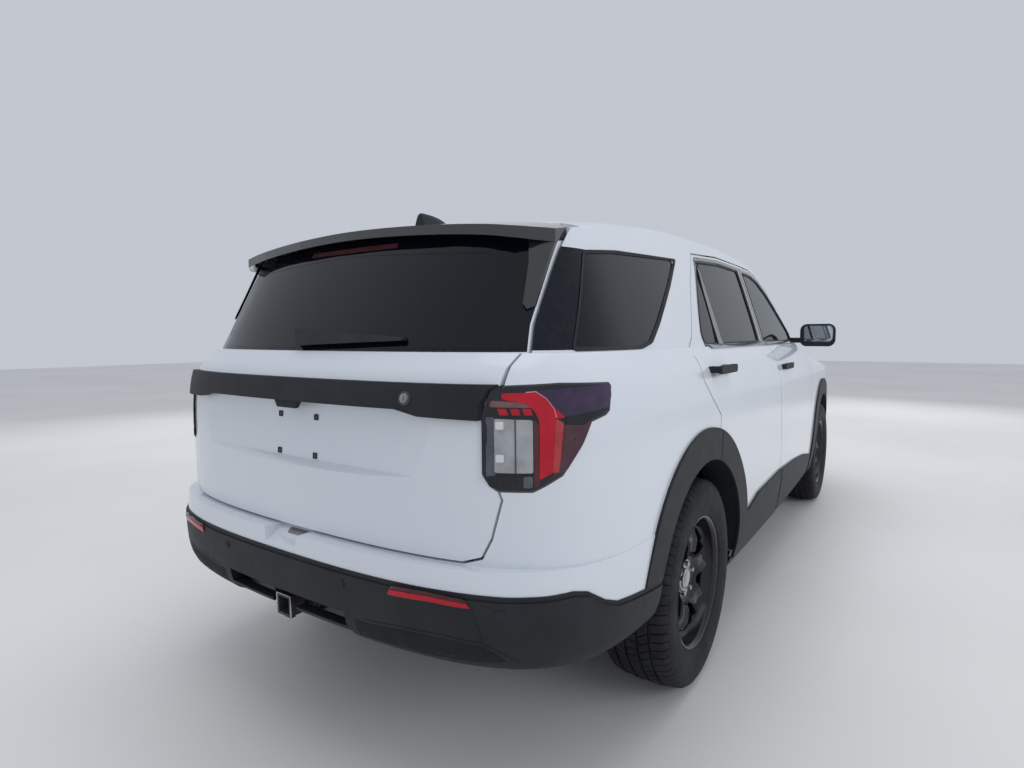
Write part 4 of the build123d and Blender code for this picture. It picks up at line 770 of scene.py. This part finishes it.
# ---- tail lamps
# Name, look, how far the part stands out, and its outline in millimetres across the corner and up.
LAMP_PARTS = [
    ("outer_lens", "smoke", 0.0012, [(-1176, 1158), (-1204, 1090), (-1204, 938), (-1186, 909), (-1158, 898),
                                     (-1080, 898), (-1050, 912), (-1006, 937), (-986, 963), (-940, 1048),
                                     (-925, 1068), (-870, 1084), (-858, 1094), (-846, 1153), (-852, 1160),
                                     (-1000, 1165)]),
    ("reverse_border", "grey", 0.0026, [(-1194, 934), (-1194, 1085), (-1170, 1085), (-1170, 934)]),
    ("reverse_lens", "clear", 0.0044, [(-1172, 944), (-1172, 1081), (-1078, 1078), (-1078, 944)]),
    ("foot", "bezel", 0.0034, [(-1184, 910), (-1186, 936), (-1078, 938), (-1078, 905), (-1150, 904)]),
    ("foot_end", "grey", 0.0042, [(-1102, 906), (-1102, 935), (-1079, 936), (-1079, 906)]),
    ("inner_bar", "deep_red", 0.0036, [(-1077, 1080), (-1063, 1068), (-1062, 914), (-1076, 904)]),
    ("bar_panel", "bezel", 0.0028, [(-1188, 1086), (-1182, 1107), (-1082, 1107), (-1070, 1086)]),
    ("strip", "strip", 0.003, [(-1183, 1110), (-1179, 1126), (-1118, 1123), (-1092, 1118), (-1080, 1108)]),
    ("red_arm", "red", 0.0046, [(-1152, 1144), (-1090, 1145), (-1067, 1147), (-1041, 1128), (-1024, 1105),
                                (-1018, 1082), (-1028, 944), (-1062, 926), (-1061, 1077), (-1072, 1100),
                                (-1092, 1117), (-1118, 1123), (-1152, 1129)]),
    ("facet", "warm_red", 0.004, [(-1018, 1081), (-997, 1068), (-1012, 944), (-1028, 942)]),
    ("corner_facet", "red", 0.0032, [(-1064, 1148), (-1034, 1119), (-992, 1083), (-1018, 1080), (-1024, 1105),
                                     (-1041, 1129)]),
    ("side_lens", "violet", 0.0026, [(-1088, 1149), (-849, 1161), (-845, 1134), (-856, 1100), (-993, 1084),
                                     (-1034, 1120), (-1060, 1147)]),
    ("side_trim", "bezel", 0.003, [(-993, 1081), (-930, 1086), (-857, 1098), (-857, 1092), (-925, 1072),
                                    (-942, 1062), (-990, 1064)]),
    ("side_lower", "brown", 0.0022, [(-995, 1064), (-942, 1060), (-924, 1070), (-912, 1074), (-944, 1012),
                                     (-988, 950), (-1010, 940), (-1050, 918), (-1012, 946)]),
]
LAMP_PARTS = [(name, look, lift, rounded(ring, 6)) for name, look, lift, ring in LAMP_PARTS]
# Strip of light pipe along the lamp's outer curve, coloured pale rose as a painted highlight.
HIGHLIGHT_LINE = ribbon([(-1092, 1146), (-1067, 1148), (-1041, 1130), (-1023, 1106), (-1017, 1083)], 2.6)
LAMP_PARTS += [("highlight_line", "rose", 0.0054, HIGHLIGHT_LINE),
               ("divider", "grey", 0.0054, rectangle((-1123, 944), (-1119, 1079)))]
LAMP_PARTS += [(f"lamp_well_{k + 1}", "pale", 0.0054, rounded(rectangle((-1169, z), (-1149, z + 20)), 4))
               for k, z in enumerate((1054, 971))]
LAMP_PARTS += [(f"bar_{k + 1}", "red", 0.004, [(u, 1106), (u + 22, 1106), (u + 27, 1090), (u + 7, 1090)])
               for k, u in enumerate((-1164, -1134, -1104))]
LAMP_PARTS += [(f"fin_{k + 1}", "smoke", 0.0048, rectangle((u, 908), (u + 5, 934)))
               for k, u in enumerate(range(-1174, -1113, 15))]
REFLECTOR = metres([(456, 603), (473, 630), (585, 632), (681, 625), (697, 602), (589, 607)])
REFLECTOR_BAND = metres([(459, 604), (467, 619), (585, 622), (686, 615), (694, 603), (589, 608)])
lamps = Skin("tail_lamps")
bumper_lamps = Skin("tail_lamps", "rear_bumper_cladding")
for side, end in SIDES:
    for name, look, lift, ring in LAMP_PARTS:
        laid(f"tail_{name}_{end}", lamps, from_corner(side, 1), metres(ring), look, (lift, 0.001, 0.018))
for ring, end in mirrored(REFLECTOR):
    laid(f"reflector_{end}", bumper_lamps, behind, rounded(ring, 0.004), "deep_red", (0.002, 0.001, 0.02))
for ring, end in mirrored(REFLECTOR_BAND):
    laid(f"reflector_band_{end}", bumper_lamps, behind, rounded(ring, 0.003), "red", (0.0032, 0.001, 0.02))

# ---- rear bumper and hitch
bumper = Skin("rear_bumper_cladding", "rear_bumper")
for y, z in ((0.289, 0.597), (0.762, 0.59)):
    for (spot,), end in mirrored([(y, z)]):
        name = f"parking_sensor_{end}_{round(y * 1000)}"
        laid(name + "_ring", bumper, behind, circle(spot, 0.014), "sensor_ring", (0.0012, 0.001, 0.01))
        laid(name, bumper, behind, circle(spot, 0.0108), "sensor", (0.0026, 0.001, 0.01))
VALANCE = metres([(369, 508), (486, 517), (612, 519), (717, 509), (757, 488), (798, 454)])
SEAM = metres([(699, 598), (714, 537), (727, 482)])
RECESS = metres([(330, 502), (369, 499), (486, 508), (612, 510), (715, 500), (750, 480), (768, 458),
                 (700, 450), (330, 450)])
CATCH = metres([(-78, 685), (30, 685), (22, 674), (-70, 674)])
for line, end in mirrored(VALANCE):
    laid(f"valance_line_{end}", bumper, behind, ribbon(line, 0.0035), "seal", (0.0012, 0.001, 0.03))
for line, end in mirrored(SEAM):
    laid(f"cladding_seam_{end}", bumper, behind, ribbon(line, 0.0028), "seal", (0.001, 0.001, 0.03))
for ring, end in mirrored(RECESS):
    laid(f"valance_recess_{end}", bumper, behind, ring, "liner", (0.0007, 0.001, 0.02))
laid("bumper_catch_recess", Skin("rear_bumper"), behind, rounded(CATCH, 0.004), "steel",
     (0.0012, 0.001, 0.02))
# Dark sheet behind the hitch opening: painted shade, so the opening reads dark instead of showing light
# through.
block("hitch_shade_panel", (-2.428, -0.46, 0.405), (-2.404, 0.46, 0.56), "dark", 0.004)
RECEIVER_HEIGHT, RECEIVER_HALF = 0.456, 0.0345
low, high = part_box("hitch_receiver")
collar = [(low.x + 0.0005, y * RECEIVER_HALF, RECEIVER_HEIGHT + z * RECEIVER_HALF)
          for y, z in ((-1, -1), (1, -1), (1, 1), (-1, 1))]
tube("hitch_collar_edge", collar, 0.0022, "collar", closed=True)
for side, end in SIDES:
    loop = [(-2.44 + x, side * 0.1, 0.47 + 0.8 * z) for x, z in circle((0.0, 0.0), 0.03, 16)]
    tube(f"chain_loop_{end}", loop, 0.0055, "dark", closed=True)
block("trailer_socket", (-2.47, 0.048, 0.452), (-2.43, 0.092, 0.5), "grain", 0.006)

# ---- liftgate
gate = Skin("liftgate", "liftgate_trim", "liftgate_glass")
for y, end in ((-0.089, "right"), (0.089, "left")):
    for z in (0.927, 1.045):
        laid(f"plate_nut_{end}_{round(z * 1000)}", gate, behind,
             rectangle((y - 0.009, z - 0.009), (y + 0.009, z + 0.009)), "grain", (0.003, 0.001, 0.01),
             "liftgate", [circle((y, z), 0.0042, 12)])
LOCK = (-0.487, 1.127)
KEY_SLOT = rectangle((LOCK[0] - 0.0012, LOCK[1] - 0.006), (LOCK[0] + 0.0012, LOCK[1] + 0.006))
laid("lock_recess", gate, behind, circle(LOCK, 0.019), "lock_recess", (0.0012, 0.001, 0.012), "liftgate")
laid("lock_ring", gate, behind, circle(LOCK, 0.013), "steel", (0.003, 0.001, 0.01), "liftgate",
     [circle(LOCK, 0.0105)])
laid("lock_cylinder", gate, behind, circle(LOCK, 0.01), "steel", (0.0036, 0.001, 0.01), "liftgate",
     [KEY_SLOT])
laid("stop_lamp", Skin("liftgate_spoiler", "liftgate_glass"), behind,
     rounded(rectangle((-0.214, 1.572), (0.214, 1.588)), 0.005), "deep_red", (0.002, 0.001, 0.02), "liftgate")

# ---- mirrors and front lamps
MIRROR = metres([(952, 1248), (948, 1340), (966, 1352), (1108, 1350), (1122, 1336), (1120, 1262),
                 (1104, 1246)])
for ring, end in mirrored(MIRROR):
    skin = Skin(f"door_front_{end}_trim")
    laid(f"mirror_bezel_{end}", skin, behind, rounded(grown(ring, 0.004), 0.012), "gloss",
         (0.001, 0.001, 0.03), f"door_front_{end}")
    laid(f"mirror_glass_{end}", skin, behind, rounded(grown(ring, -0.002), 0.01), "mirror",
         (0.003, 0.001, 0.05), f"door_front_{end}")
for name, look, lift, ring in (
    ("bezel", "head_bezel", 0.0012, [(600, 890), (610, 988), (850, 1000), (872, 940), (860, 890)]),
    ("module_inner", "head_clear", 0.0034, [(628, 905), (634, 950), (690, 954), (694, 905)]),
    ("module_middle", "head_clear", 0.0034, [(708, 905), (708, 955), (764, 958), (764, 905)]),
    ("module_outer", "head_clear", 0.0034, [(778, 905), (778, 958), (834, 956), (840, 905)]),
    ("day_light", "head_pale", 0.0034, [(624, 966), (626, 978), (846, 986), (856, 972)]),
):
    for ring, end in mirrored(metres(ring)):
        laid(f"headlamp_{name}_{end}", Skin("headlamps"), ahead, rounded(ring, 0.008), look,
             (lift, 0.001, 0.02))

# ---- wheel opening liners
WELL_RADIUS, WELL_EDGE, WELL_BOTTOM, WELL_STEPS = 0.466, 0.004, 0.345, 30
PLAIN_EDGE, NARROWEST_EDGE = 0.94, 0.9


def well_point(axle, turn, radius):
    """Point (x, z) at a radius and turn about an axle, seen from the side."""
    return axle + math.cos(turn) * radius, AXLE_HEIGHT + math.sin(turn) * radius


def arch_liner(name, axle, side, turns, inner, body, skin):
    """Dark liner inside one wheel opening, between two turns in degrees, out to the edge of the skin."""
    rows = []
    for k in range(WELL_STEPS + 1):
        turn = math.radians(turns[0] + (turns[1] - turns[0]) * k / WELL_STEPS)
        landing = skin.land(from_side(side), well_point(axle, turn, WELL_RADIUS - WELL_EDGE))
        reach = abs(landing[0].y) if landing else 0.0
        outer = reach - WELL_EDGE if reach > NARROWEST_EDGE else PLAIN_EDGE
        row = []
        for y, grow in ((inner, -0.002), (inner + 0.02, -0.005), (outer - 0.02, -0.005), (outer, -0.003),
                        (outer, 0.0), (inner, 0.0)):
            x, z = well_point(axle, turn, WELL_RADIUS + grow)
            row.append(Vector((x, side * y, z)))
        rows.append(row)
    rows = [row for row in rows if row[0].z > WELL_BOTTOM]
    Shape().grid(rows, loop=True).caps(rows[0], rows[-1]).made(name, "liner", body)


for side, end in SIDES:
    rear_door = f"door_rear_{end}"
    skin = Skin("body_cladding", "front_fenders", "rear_bumper_cladding", "rear_bumper", rear_door + "_trim",
                rear_door)
    arch_liner(f"arch_liner_front_{end}", FRONT_AXLE, side, (-5.0, 185.0), 0.8, "body", skin)
    arch_liner(f"arch_liner_rear_{end}", REAR_AXLE, side, (73.0, 185.0), 0.8, "body", skin)
    arch_liner(f"arch_liner_door_{end}", REAR_AXLE, side, (-5.0, 70.0), 0.866, rear_door, skin)

# ---- seats
STITCH_DEPTH, STITCH_WIDTH = 0.007, 0.006
SIDE_PULL, CORNER_PULL, FACE_PULL = 0.012, 0.06, 0.05


def cushion(name, low, high, thick, channels=(), lean=0.0, about=None, crown=0.34, cuts=22):
    """Padded form between two corners, crowned along one axis, its sides pulled in, with sewn channels."""
    low, high = Vector(low), Vector(high)
    middle, half = (low + high) / 2, (high - low) / 2
    wide = [i for i in range(3) if i != thick]
    bm = bmesh.new()
    bmesh.ops.create_cube(bm, size=2.0)
    bmesh.ops.subdivide_edges(bm, edges=bm.edges[:], cuts=cuts, use_grid_fill=True)
    for v in bm.verts:
        c = list(v.co)
        a, b = abs(c[wide[0]]), abs(c[wide[1]])
        full = (1.0 - crown * a ** 7) * (1.0 - crown * b ** 7)
        depth = sum(STITCH_DEPTH * math.exp(-((c[axis] * half[axis] - at) / STITCH_WIDTH) ** 2)
                    for axis, at in channels)
        c[thick] *= full - depth / half[thick] * (1 if abs(c[thick]) > 0.9 else 0)
        face = FACE_PULL * abs(v.co[thick]) ** 4
        for axis, other in ((wide[0], b), (wide[1], a)):
            c[axis] *= 1.0 - SIDE_PULL / half[axis] * (1 - other * other) - CORNER_PULL * other ** 6 - face
        v.co = Vector(c[i] * half[i] for i in range(3)) + middle
    pad = leaned(bm, name, "cloth", 80.0, lean, about)
    return pad


FRONT_SEAT_Y, HEADREST_Y, PLINTH_Y = 0.37, 0.36, 0.35
BACK_LEAN, HEADREST_LEAN, POST_RADIUS = 14.0, 6.0, 0.006
back_turn = {"lean": BACK_LEAN, "about": (-0.14, 0, 0.6)}
for side, end in SIDES:
    y = side * FRONT_SEAT_Y
    cushion(f"front_seat_base_{end}", (-0.05, y - 0.19, 0.485), (0.445, y + 0.19, 0.64), 2,
                              channels=((0, 0.04), (0, -0.1)))
    cushion(f"front_seat_back_{end}", (-0.13, y - 0.18, 0.615), (-0.005, y + 0.18, 1.17), 0,
            channels=((2, 0.06), (2, -0.12)), **back_turn)
    for place in (-1, 1):
        where = f"{end}_{'inner' if place * side < 0 else 'outer'}"
        y0, y1 = sorted((y + place * 0.168, y + place * 0.262))
        cushion(f"front_base_bolster_{where}", (-0.04, y0, 0.49), (0.42, y1, 0.65), 2, crown=0.5, cuts=12)
        cushion(f"front_back_bolster_{where}", (-0.125, y0, 0.64), (0.012, y1, 1.12), 0, crown=0.5, cuts=12,
                **back_turn)
        post = y + place * 0.06
        tube(f"headrest_post_{where}", [(-0.236, post, 1.1), (-0.222, post, 1.18)], POST_RADIUS, "bright")
    cushion(f"front_headrest_{end}", (-0.26, y - 0.128, 1.155), (-0.172, y + 0.128, 1.365), 0,
            lean=HEADREST_LEAN, about=(-0.262, 0, 1.15), crown=0.45, cuts=14)
    block(f"front_seat_plinth_{end}", (-0.02, y - 0.2, 0.322), (0.4, y + 0.2, 0.478), "inner", 0.012)
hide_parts("front_seats")

for name, y0, y1 in (("right", -0.615, -0.215), ("middle", -0.205, 0.205), ("left", 0.215, 0.615)):
    cushion(f"rear_seat_base_{name}", (-0.85, y0, 0.505), (-0.395, y1, 0.665), 2,
                             channels=((0, 0.06),))
    cushion(f"rear_seat_back_{name}", (-0.952, y0, 0.655), (-0.818, y1, 1.18), 0,
            channels=((2, 0.05), (2, -0.13)), lean=BACK_LEAN, about=(-0.96, 0, 0.65))
for side, end in SIDES:
    y = side * HEADREST_Y
    cushion(f"rear_headrest_{end}", (-1.07, y - 0.115, 1.175), (-0.99, y + 0.115, 1.342), 0,
            lean=HEADREST_LEAN, about=(-1.075, 0, 1.17), crown=0.45, cuts=14)
    for place, letter in ((-1, "a"), (1, "b")):
        post = y + place * 0.055
        tube(f"rear_headrest_post_{end}_{letter}", [(-1.046, post, 1.13), (-1.04, post, 1.2)],
             POST_RADIUS, "bright")
    y = side * PLINTH_Y
    block(f"rear_seat_plinth_{end}", (-0.84, y - 0.2, 0.322), (-0.43, y + 0.2, 0.498), "inner", 0.012)
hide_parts("rear_seat")


# ---- cabin lining
def outward(side):
    """Lines of sight from the middle of the cabin to one side, through points (x, z)."""
    return lambda x, z: (Vector((x, 0, z)), Vector((0, side, 0)))


def upward(x, y):
    """The line of sight from inside the cabin up through a point (x, y)."""
    return Vector((x, y, 0.9)), Vector((0, 0, 1))


def downward(x, y):
    """The line of sight from inside the cabin down through a point (x, y)."""
    return Vector((x, y, 1.0)), Vector((0, 0, -1))


FRONT_CARD = metres([(-120, 350), (-120, 1236), (900, 1200), (918, 1100), (918, 350)])
REAR_CARD = metres([(-172, 350), (-172, 1236), (-1120, 1236), (-1130, 1000), (-950, 820), (-905, 600),
                    (-905, 350)])
CARGO_SIDE = metres([(-2280, 680), (-2240, 1200), (-2140, 1244), (-1260, 1244), (-1200, 1150), (-1160, 900),
                     (-960, 720), (-960, 660)])
laid("roof_lining", Skin("roof_panel"), upward, rounded(rectangle((-1.96, -0.63), (0.26, 0.63)), 0.06),
     "roof", (0.004, 0.0, 0.08))
for side, end in SIDES:
    for door, card, x0, x1 in (("front", FRONT_CARD, 0.02, 0.62), ("rear", REAR_CARD, -0.8, -0.24)):
        body = f"door_{door}_{end}"
        handle = x1 + 0.04
        for name, ring, corner, look, fit in (
            ("door_card", card, 0.05, "inner", (0.006, 0.0, 0.05)),
            ("door_insert", rectangle((x0, 0.9), (x1, 1.14)), 0.05, "cloth", (0.011, -0.004, 0.05)),
            ("door_pocket", rectangle((x0, 0.42), (x1, 0.58)), 0.04, "grain", (0.012, -0.004, 0.05)),
            ("armrest", rectangle((x0, 0.8), (x1, 0.87)), 0.03, "inner", (0.04, -0.004, 0.04)),
            ("inner_handle", rectangle((handle, 0.99), (handle + 0.1, 1.02)), 0.01, "bright",
             (0.02, -0.004, 0.03)),
        ):
            laid(f"{name}_{door}_{end}", Skin(body), outward(side), rounded(ring, corner), look, fit, body)
    laid(f"cargo_side_{end}", Skin(f"body_side_{end}", "rear_bumper"), outward(side),
         rounded(CARGO_SIDE, 0.05), "inner", (0.01, 0.0, 0.025))
laid("liftgate_lining", Skin("liftgate"), ahead, rounded(rectangle((-0.56, 0.76), (0.56, 1.1)), 0.06),
     "inner", (0.006, 0.0, 0.04), "liftgate")
floor_pan = Skin("floor_pan")
for side, end in SIDES:
    low, high = sorted((side * 0.14, side * 0.7))
    for name, ring in (("front", rectangle((-0.28, side * 0.14), (1.02, side * 0.7))),
                       ("rear", rectangle((-0.89, low), (-0.3, high)))):
        laid(f"{name}_carpet_{end}", floor_pan, downward, rounded(ring, 0.04), "carpet", (0.006, 0.0, 0.08))
laid("cargo_carpet", floor_pan, downward, rounded(rectangle((-2.3, -0.6), (-0.98, 0.6)), 0.05), "carpet",
     (0.006, 0.0, 0.08))
laid("tunnel_carpet", floor_pan, downward, rectangle((-0.9, -0.128), (0.1, 0.128)), "carpet",
     (0.005, 0.0, 0.08))

# ---- dashboard
dash = Skin("dashboard")
laid("instrument_hood", dash, behind,
     rounded(metres([(215, 985), (215, 1085), (525, 1085), (525, 985)]), 0.03),
     "dash_gloss", (0.006, 0.0, 0.03))
for y in (0.3, 0.44):
    dial = circle((y, 1.036), 0.04, 40)
    laid(f"dial_face_{round(y * 1000)}", dash, behind, dial, "dial", (0.009, -0.004, 0.02))
    laid(f"dial_ring_{round(y * 1000)}", dash, behind, grown(dial, 0.003), "dash_metal",
         (0.012, -0.004, 0.02), holes=[dial])
VENT_LOW, VENT_HIGH, VENT_RIM = 0.935, 1.015, 0.008
for y0, y1 in ((-0.69, -0.56), (-0.145, -0.015), (0.015, 0.145), (0.575, 0.69)):
    label = round(y0 * 1000)
    opening = rectangle((y0 + VENT_RIM, VENT_LOW + VENT_RIM), (y1 - VENT_RIM, VENT_HIGH - VENT_RIM))
    laid(f"vent_frame_{label}", dash, behind, rounded(rectangle((y0, VENT_LOW), (y1, VENT_HIGH)), 0.012),
         "dash_gloss", (0.008, 0.0, 0.02), holes=[rounded(opening, 0.008)])
    for k in range(4):
        z = 0.95 + 0.015 * k
        laid(f"vent_slat_{label}_{k + 1}", dash, behind, rectangle((y0 + 0.006, z), (y1 - 0.006, z + 0.005)),
             "inner", (0.006, 0.0, 0.03))
for k, y in enumerate((-0.085, -0.028, 0.028, 0.085)):
    disc(f"dash_knob_{k + 1}", (0.56, y, 0.735), (-1, 0, 0), 0.014, 0.02, "dash_metal")
block("centre_screen", (0.54, -0.118, 0.77), (0.556, 0.118, 0.925), "dash_gloss", 0.006)
block("glove_box_lid", (0.636, -0.64, 0.8), (0.66, -0.22, 0.905), "inner", 0.01, -12.0, (0.65, 0, 0.9))
armrest = block("console_armrest", (0.14, -0.09, 0.64), (0.42, 0.09, 0.7), "cloth", 0.024)
tube("gear_lever", curved([(0.505, 0.0, 0.64), (0.5, 0.0, 0.7), (0.49, 0.0, 0.735)]), 0.01, "dash_gloss")
block("gear_knob", (0.466, -0.022, 0.728), (0.514, 0.022, 0.79), "dash_gloss", 0.018)
for name, y, wide, z in (("accelerator", 0.25, 0.024, 0.42), ("brake_pedal", 0.35, 0.045, 0.46)):
    block(name, (0.9, y - wide, z), (0.914, y + wide, z + 0.085), "inner", 0.005, -25.0, (0.9, 0, z))
    tube(f"{name}_arm", curved([(0.912, y, z + 0.06), (0.955, y, 0.62), (1.03, y, 0.74)]), 0.008, "dark")
COLUMN = Vector((-0.92069, 0, 0.3903))
STEERING_MIDDLE = Vector((0.455, 0.37, 0.985))
STEERING_RADIUS = 0.185
disc("steering_hub_pad", STEERING_MIDDLE + COLUMN * 0.022, COLUMN, 0.07, 0.026, "inner", "steering_wheel",
     0.01)
across = Vector((0, 1, 0))
upright = COLUMN.cross(across).normalized()
rim = [STEERING_MIDDLE + across * y + upright * z for y, z in circle((0.0, 0.0), STEERING_RADIUS, 64)]
tube("steering_rim_cover", rim, 0.0152, "inner", "steering_wheel", around=16, closed=True)
block("inner_mirror", (0.3, -0.115, 1.52), (0.322, 0.115, 1.59), "dash_gloss", 0.01)
tube("inner_mirror_stem", [(0.315, 0.0, 1.575), (0.36, 0.0, 1.63)], 0.007, "dash_gloss")

# ---- windscreen, wipers and front end
screen = Skin("windscreen")
SCREEN = [(0.3, 0.62), (0.44, 0.645), (0.7, 0.665), (1.0, 0.69), (1.075, 0.69), (1.092, 0.0),
          (1.075, -0.69), (1.0, -0.69), (0.7, -0.665), (0.44, -0.645), (0.3, -0.62), (0.325, 0.0)]
laid("windscreen_frit", screen, from_above, rounded(grown(SCREEN, 0.004), 0.03), "frit",
     (0.0008, 0.0005, 0.04), holes=[rounded(grown(SCREEN, -0.045), 0.05)])
for name, line in (("right", [(1.118, -0.08), (1.07, -0.3), (1.055, -0.62)]),
                   ("left", [(1.118, 0.52), (1.062, 0.3), (1.04, -0.05)])):
    laid(f"wiper_arm_{name}", screen, from_above, ribbon(line, 0.016), "grain", (0.02, -0.012, 0.03))
    (x0, y0), (x1, y1) = line[1:]
    blade = [(x0 - 0.012, y0 + 0.1), (x1 - 0.012, y1)]
    laid(f"wiper_blade_{name}", screen, from_above, ribbon(blade, 0.01), "seal", (0.014, 0.0, 0.03))

nose = Skin("front_bumper", "body_cladding", "grille")
for k, reach in enumerate((0.505, 0.505, 0.505, 0.52)):
    z = 0.752 + 0.055 * k
    laid(f"grille_bar_{k + 1}", nose, ahead,
         rounded(rectangle((-reach, z - 0.034), (reach, z - 0.018)), 0.006), "gloss", (0.006, 0.001, 0.04))
laid("lower_intake", nose, ahead, rounded(metres([(-430, 452), (-500, 520), (500, 520), (430, 452)]), 0.02),
     "liner", (0.0015, 0.001, 0.04))
for k in range(3):
    z = 0.463 + 0.018 * k
    laid(f"intake_bar_{k + 1}", nose, ahead, rectangle((-0.44, z), (0.44, z + 0.007)), "gloss",
         (0.007, -0.001, 0.04))
for side, end in SIDES:
    spot = (side * 0.69, 0.56)
    laid(f"fog_lamp_bezel_{end}", nose, ahead, circle(spot, 0.046, 32), "gloss", (0.003, 0.001, 0.02),
         holes=[circle(spot, 0.036, 32)])
    laid(f"fog_lamp_{end}", nose, ahead, circle(spot, 0.035, 32), "head_clear", (0.005, 0.0, 0.015))
    y, z = side * 0.33, 0.4
    hook = rounded(rectangle((y - 0.03, z - 0.02), (y + 0.03, z + 0.02)), 0.006)
    laid(f"tow_point_{end}", nose, ahead, hook, "liner", (0.002, 0.001, 0.02))

# ---- engine bay and springs
for name, low, high, look, soft in (
    ("engine_cover", (1.42, -0.25, 0.925), (1.88, 0.25, 0.985), "grain", 0.03),
    ("battery_box", (1.15, 0.4, 0.76), (1.34, 0.64, 0.965), "grain", 0.014),
    ("battery_cover", (1.155, 0.405, 0.955), (1.335, 0.635, 0.985), "liner", 0.01),
    ("air_filter_box", (1.96, 0.33, 0.76), (2.18, 0.6, 0.93), "grain", 0.022),
    ("coolant_tank", (1.98, -0.6, 0.77), (2.12, -0.42, 0.92), "tank", 0.026),
    ("brake_fluid_tank", (1.11, 0.23, 0.88), (1.2, 0.35, 0.99), "tank", 0.016),
    ("fuse_box", (1.15, -0.64, 0.8), (1.36, -0.42, 0.955), "grain", 0.014),
    ("fan_shroud", (2.175, -0.36, 0.52), (2.215, 0.36, 0.935), "grain", 0.012),
):
    block(name, low, high, look, soft)
for k in range(4):
    y = -0.165 + 0.11 * k
    block(f"engine_cover_rib_{k + 1}", (1.47, y - 0.012, 0.978), (1.83, y + 0.012, 0.992), "grain", 0.006)
disc("oil_filler_cap", (1.84, 0.205, 0.975), (0, 0, 1), 0.03, 0.022, "seal")
disc("coolant_cap", (2.05, -0.51, 0.915), (0, 0, 1), 0.026, 0.024, "seal")
tube("intake_duct", curved([(2.0, 0.34, 0.88), (1.96, 0.25, 0.905), (1.9, 0.18, 0.93)]), 0.038, "seal",
     around=20)
tube("upper_hose", curved([(2.18, -0.25, 0.9), (2.08, -0.2, 0.93), (1.93, -0.18, 0.89)]), 0.022, "seal",
     around=16)
COIL_RADIUS, COIL_WIRE, COIL_TURNS, COIL_STEPS = 0.028, 0.005, 7.5, 120
COIL_FOOT, COIL_HEIGHT = 0.585, 0.18
for name, axle in (("rear", REAR_AXLE), ("front", FRONT_AXLE)):
    for side, end in SIDES:
        line = []
        for k in range(COIL_STEPS + 1):
            turn = math.tau * COIL_TURNS * k / COIL_STEPS
            line.append((axle + COIL_RADIUS * math.cos(turn), side * 0.668 + COIL_RADIUS * math.sin(turn),
                         COIL_FOOT + COIL_HEIGHT * k / COIL_STEPS))
        tube(f"coil_spring_{name}_{end}", line, COIL_WIRE, "dark", around=8)


# ---- floor, light and camera
def stage_and_light():
    """Plain pale floor and sky, with large soft lights round the vehicle."""
    bpy.ops.mesh.primitive_plane_add(size=60.0, location=(0, 0, -0.0005))
    floor = bpy.context.object
    floor.name = "floor"
    floor.data.materials.append(finish("floor", ((0.74, 0.73, 0.715), (0.8, 0.79, 0.775)), (0.35, 4.0),
                                       (0.42, 0.55), (2.0,)))

    world = bpy.data.worlds.new("studio")
    scene.world = world
    world.use_nodes = True
    background = world.node_tree.nodes["Background"]
    background.inputs["Color"].default_value = (0.82, 0.87, 0.95, 1.0)
    background.inputs["Strength"].default_value = 0.66
    scene.view_settings.view_transform = "Standard"
    for name, place, target, size, power in (
        ("roof light", (0.0, 0.0, 6.5), (0.0, 0.0, 0.0), (9.0, 5.0), 130.0),
        ("right light", (-1.0, -8.5, 4.2), (0.0, -0.6, 0.8), (7.0, 2.6), 150.0),
        ("rear light", (-9.5, 2.5, 3.6), (-2.3, 0.0, 0.9), (5.0, 2.2), 15.0),
        ("left light", (2.0, 8.0, 4.0), (0.0, 0.6, 0.8), (7.0, 2.6), 120.0),
        ("front light", (9.5, -1.0, 3.6), (2.3, 0.0, 0.8), (5.0, 2.4), 100.0),
    ):
        data = bpy.data.lights.new(name, "AREA")
        data.shape = "RECTANGLE"
        data.size, data.size_y = size
        data.energy = power
        lamp = bpy.data.objects.new(name, data)
        lamp.location = place
        lamp.visible_glossy = name == "roof light"
        lamp.rotation_euler = (Vector(target) - Vector(place)).to_track_quat("-Z", "Y").to_euler()
        scene.collection.objects.link(lamp)


def camera():
    """Wide-angle camera behind the rear right corner, a little above the lamps."""
    yaw, pitch, roll = (math.radians(a) for a in (34.592, -4.55, -0.255))
    forward = Vector((math.cos(pitch) * math.cos(yaw), math.cos(pitch) * math.sin(yaw), math.sin(pitch)))
    level = forward.cross(Vector((0, 0, 1))).normalized()
    above = level.cross(forward)
    right = math.cos(roll) * level + math.sin(roll) * above
    up = -math.sin(roll) * level + math.cos(roll) * above
    data = bpy.data.cameras.new("camera")
    data.sensor_width = 36.0
    data.lens = 21.04
    data.clip_start = 0.05
    data.clip_end = 200.0
    eye = bpy.data.objects.new("camera", data)
    axes = Matrix((right, up, -forward)).transposed()
    eye.matrix_world = Matrix.Translation((-3.5947, -1.616, 1.2892)) @ axes.to_4x4()
    scene.collection.objects.link(eye)
    scene.camera = eye


stage_and_light()
camera()
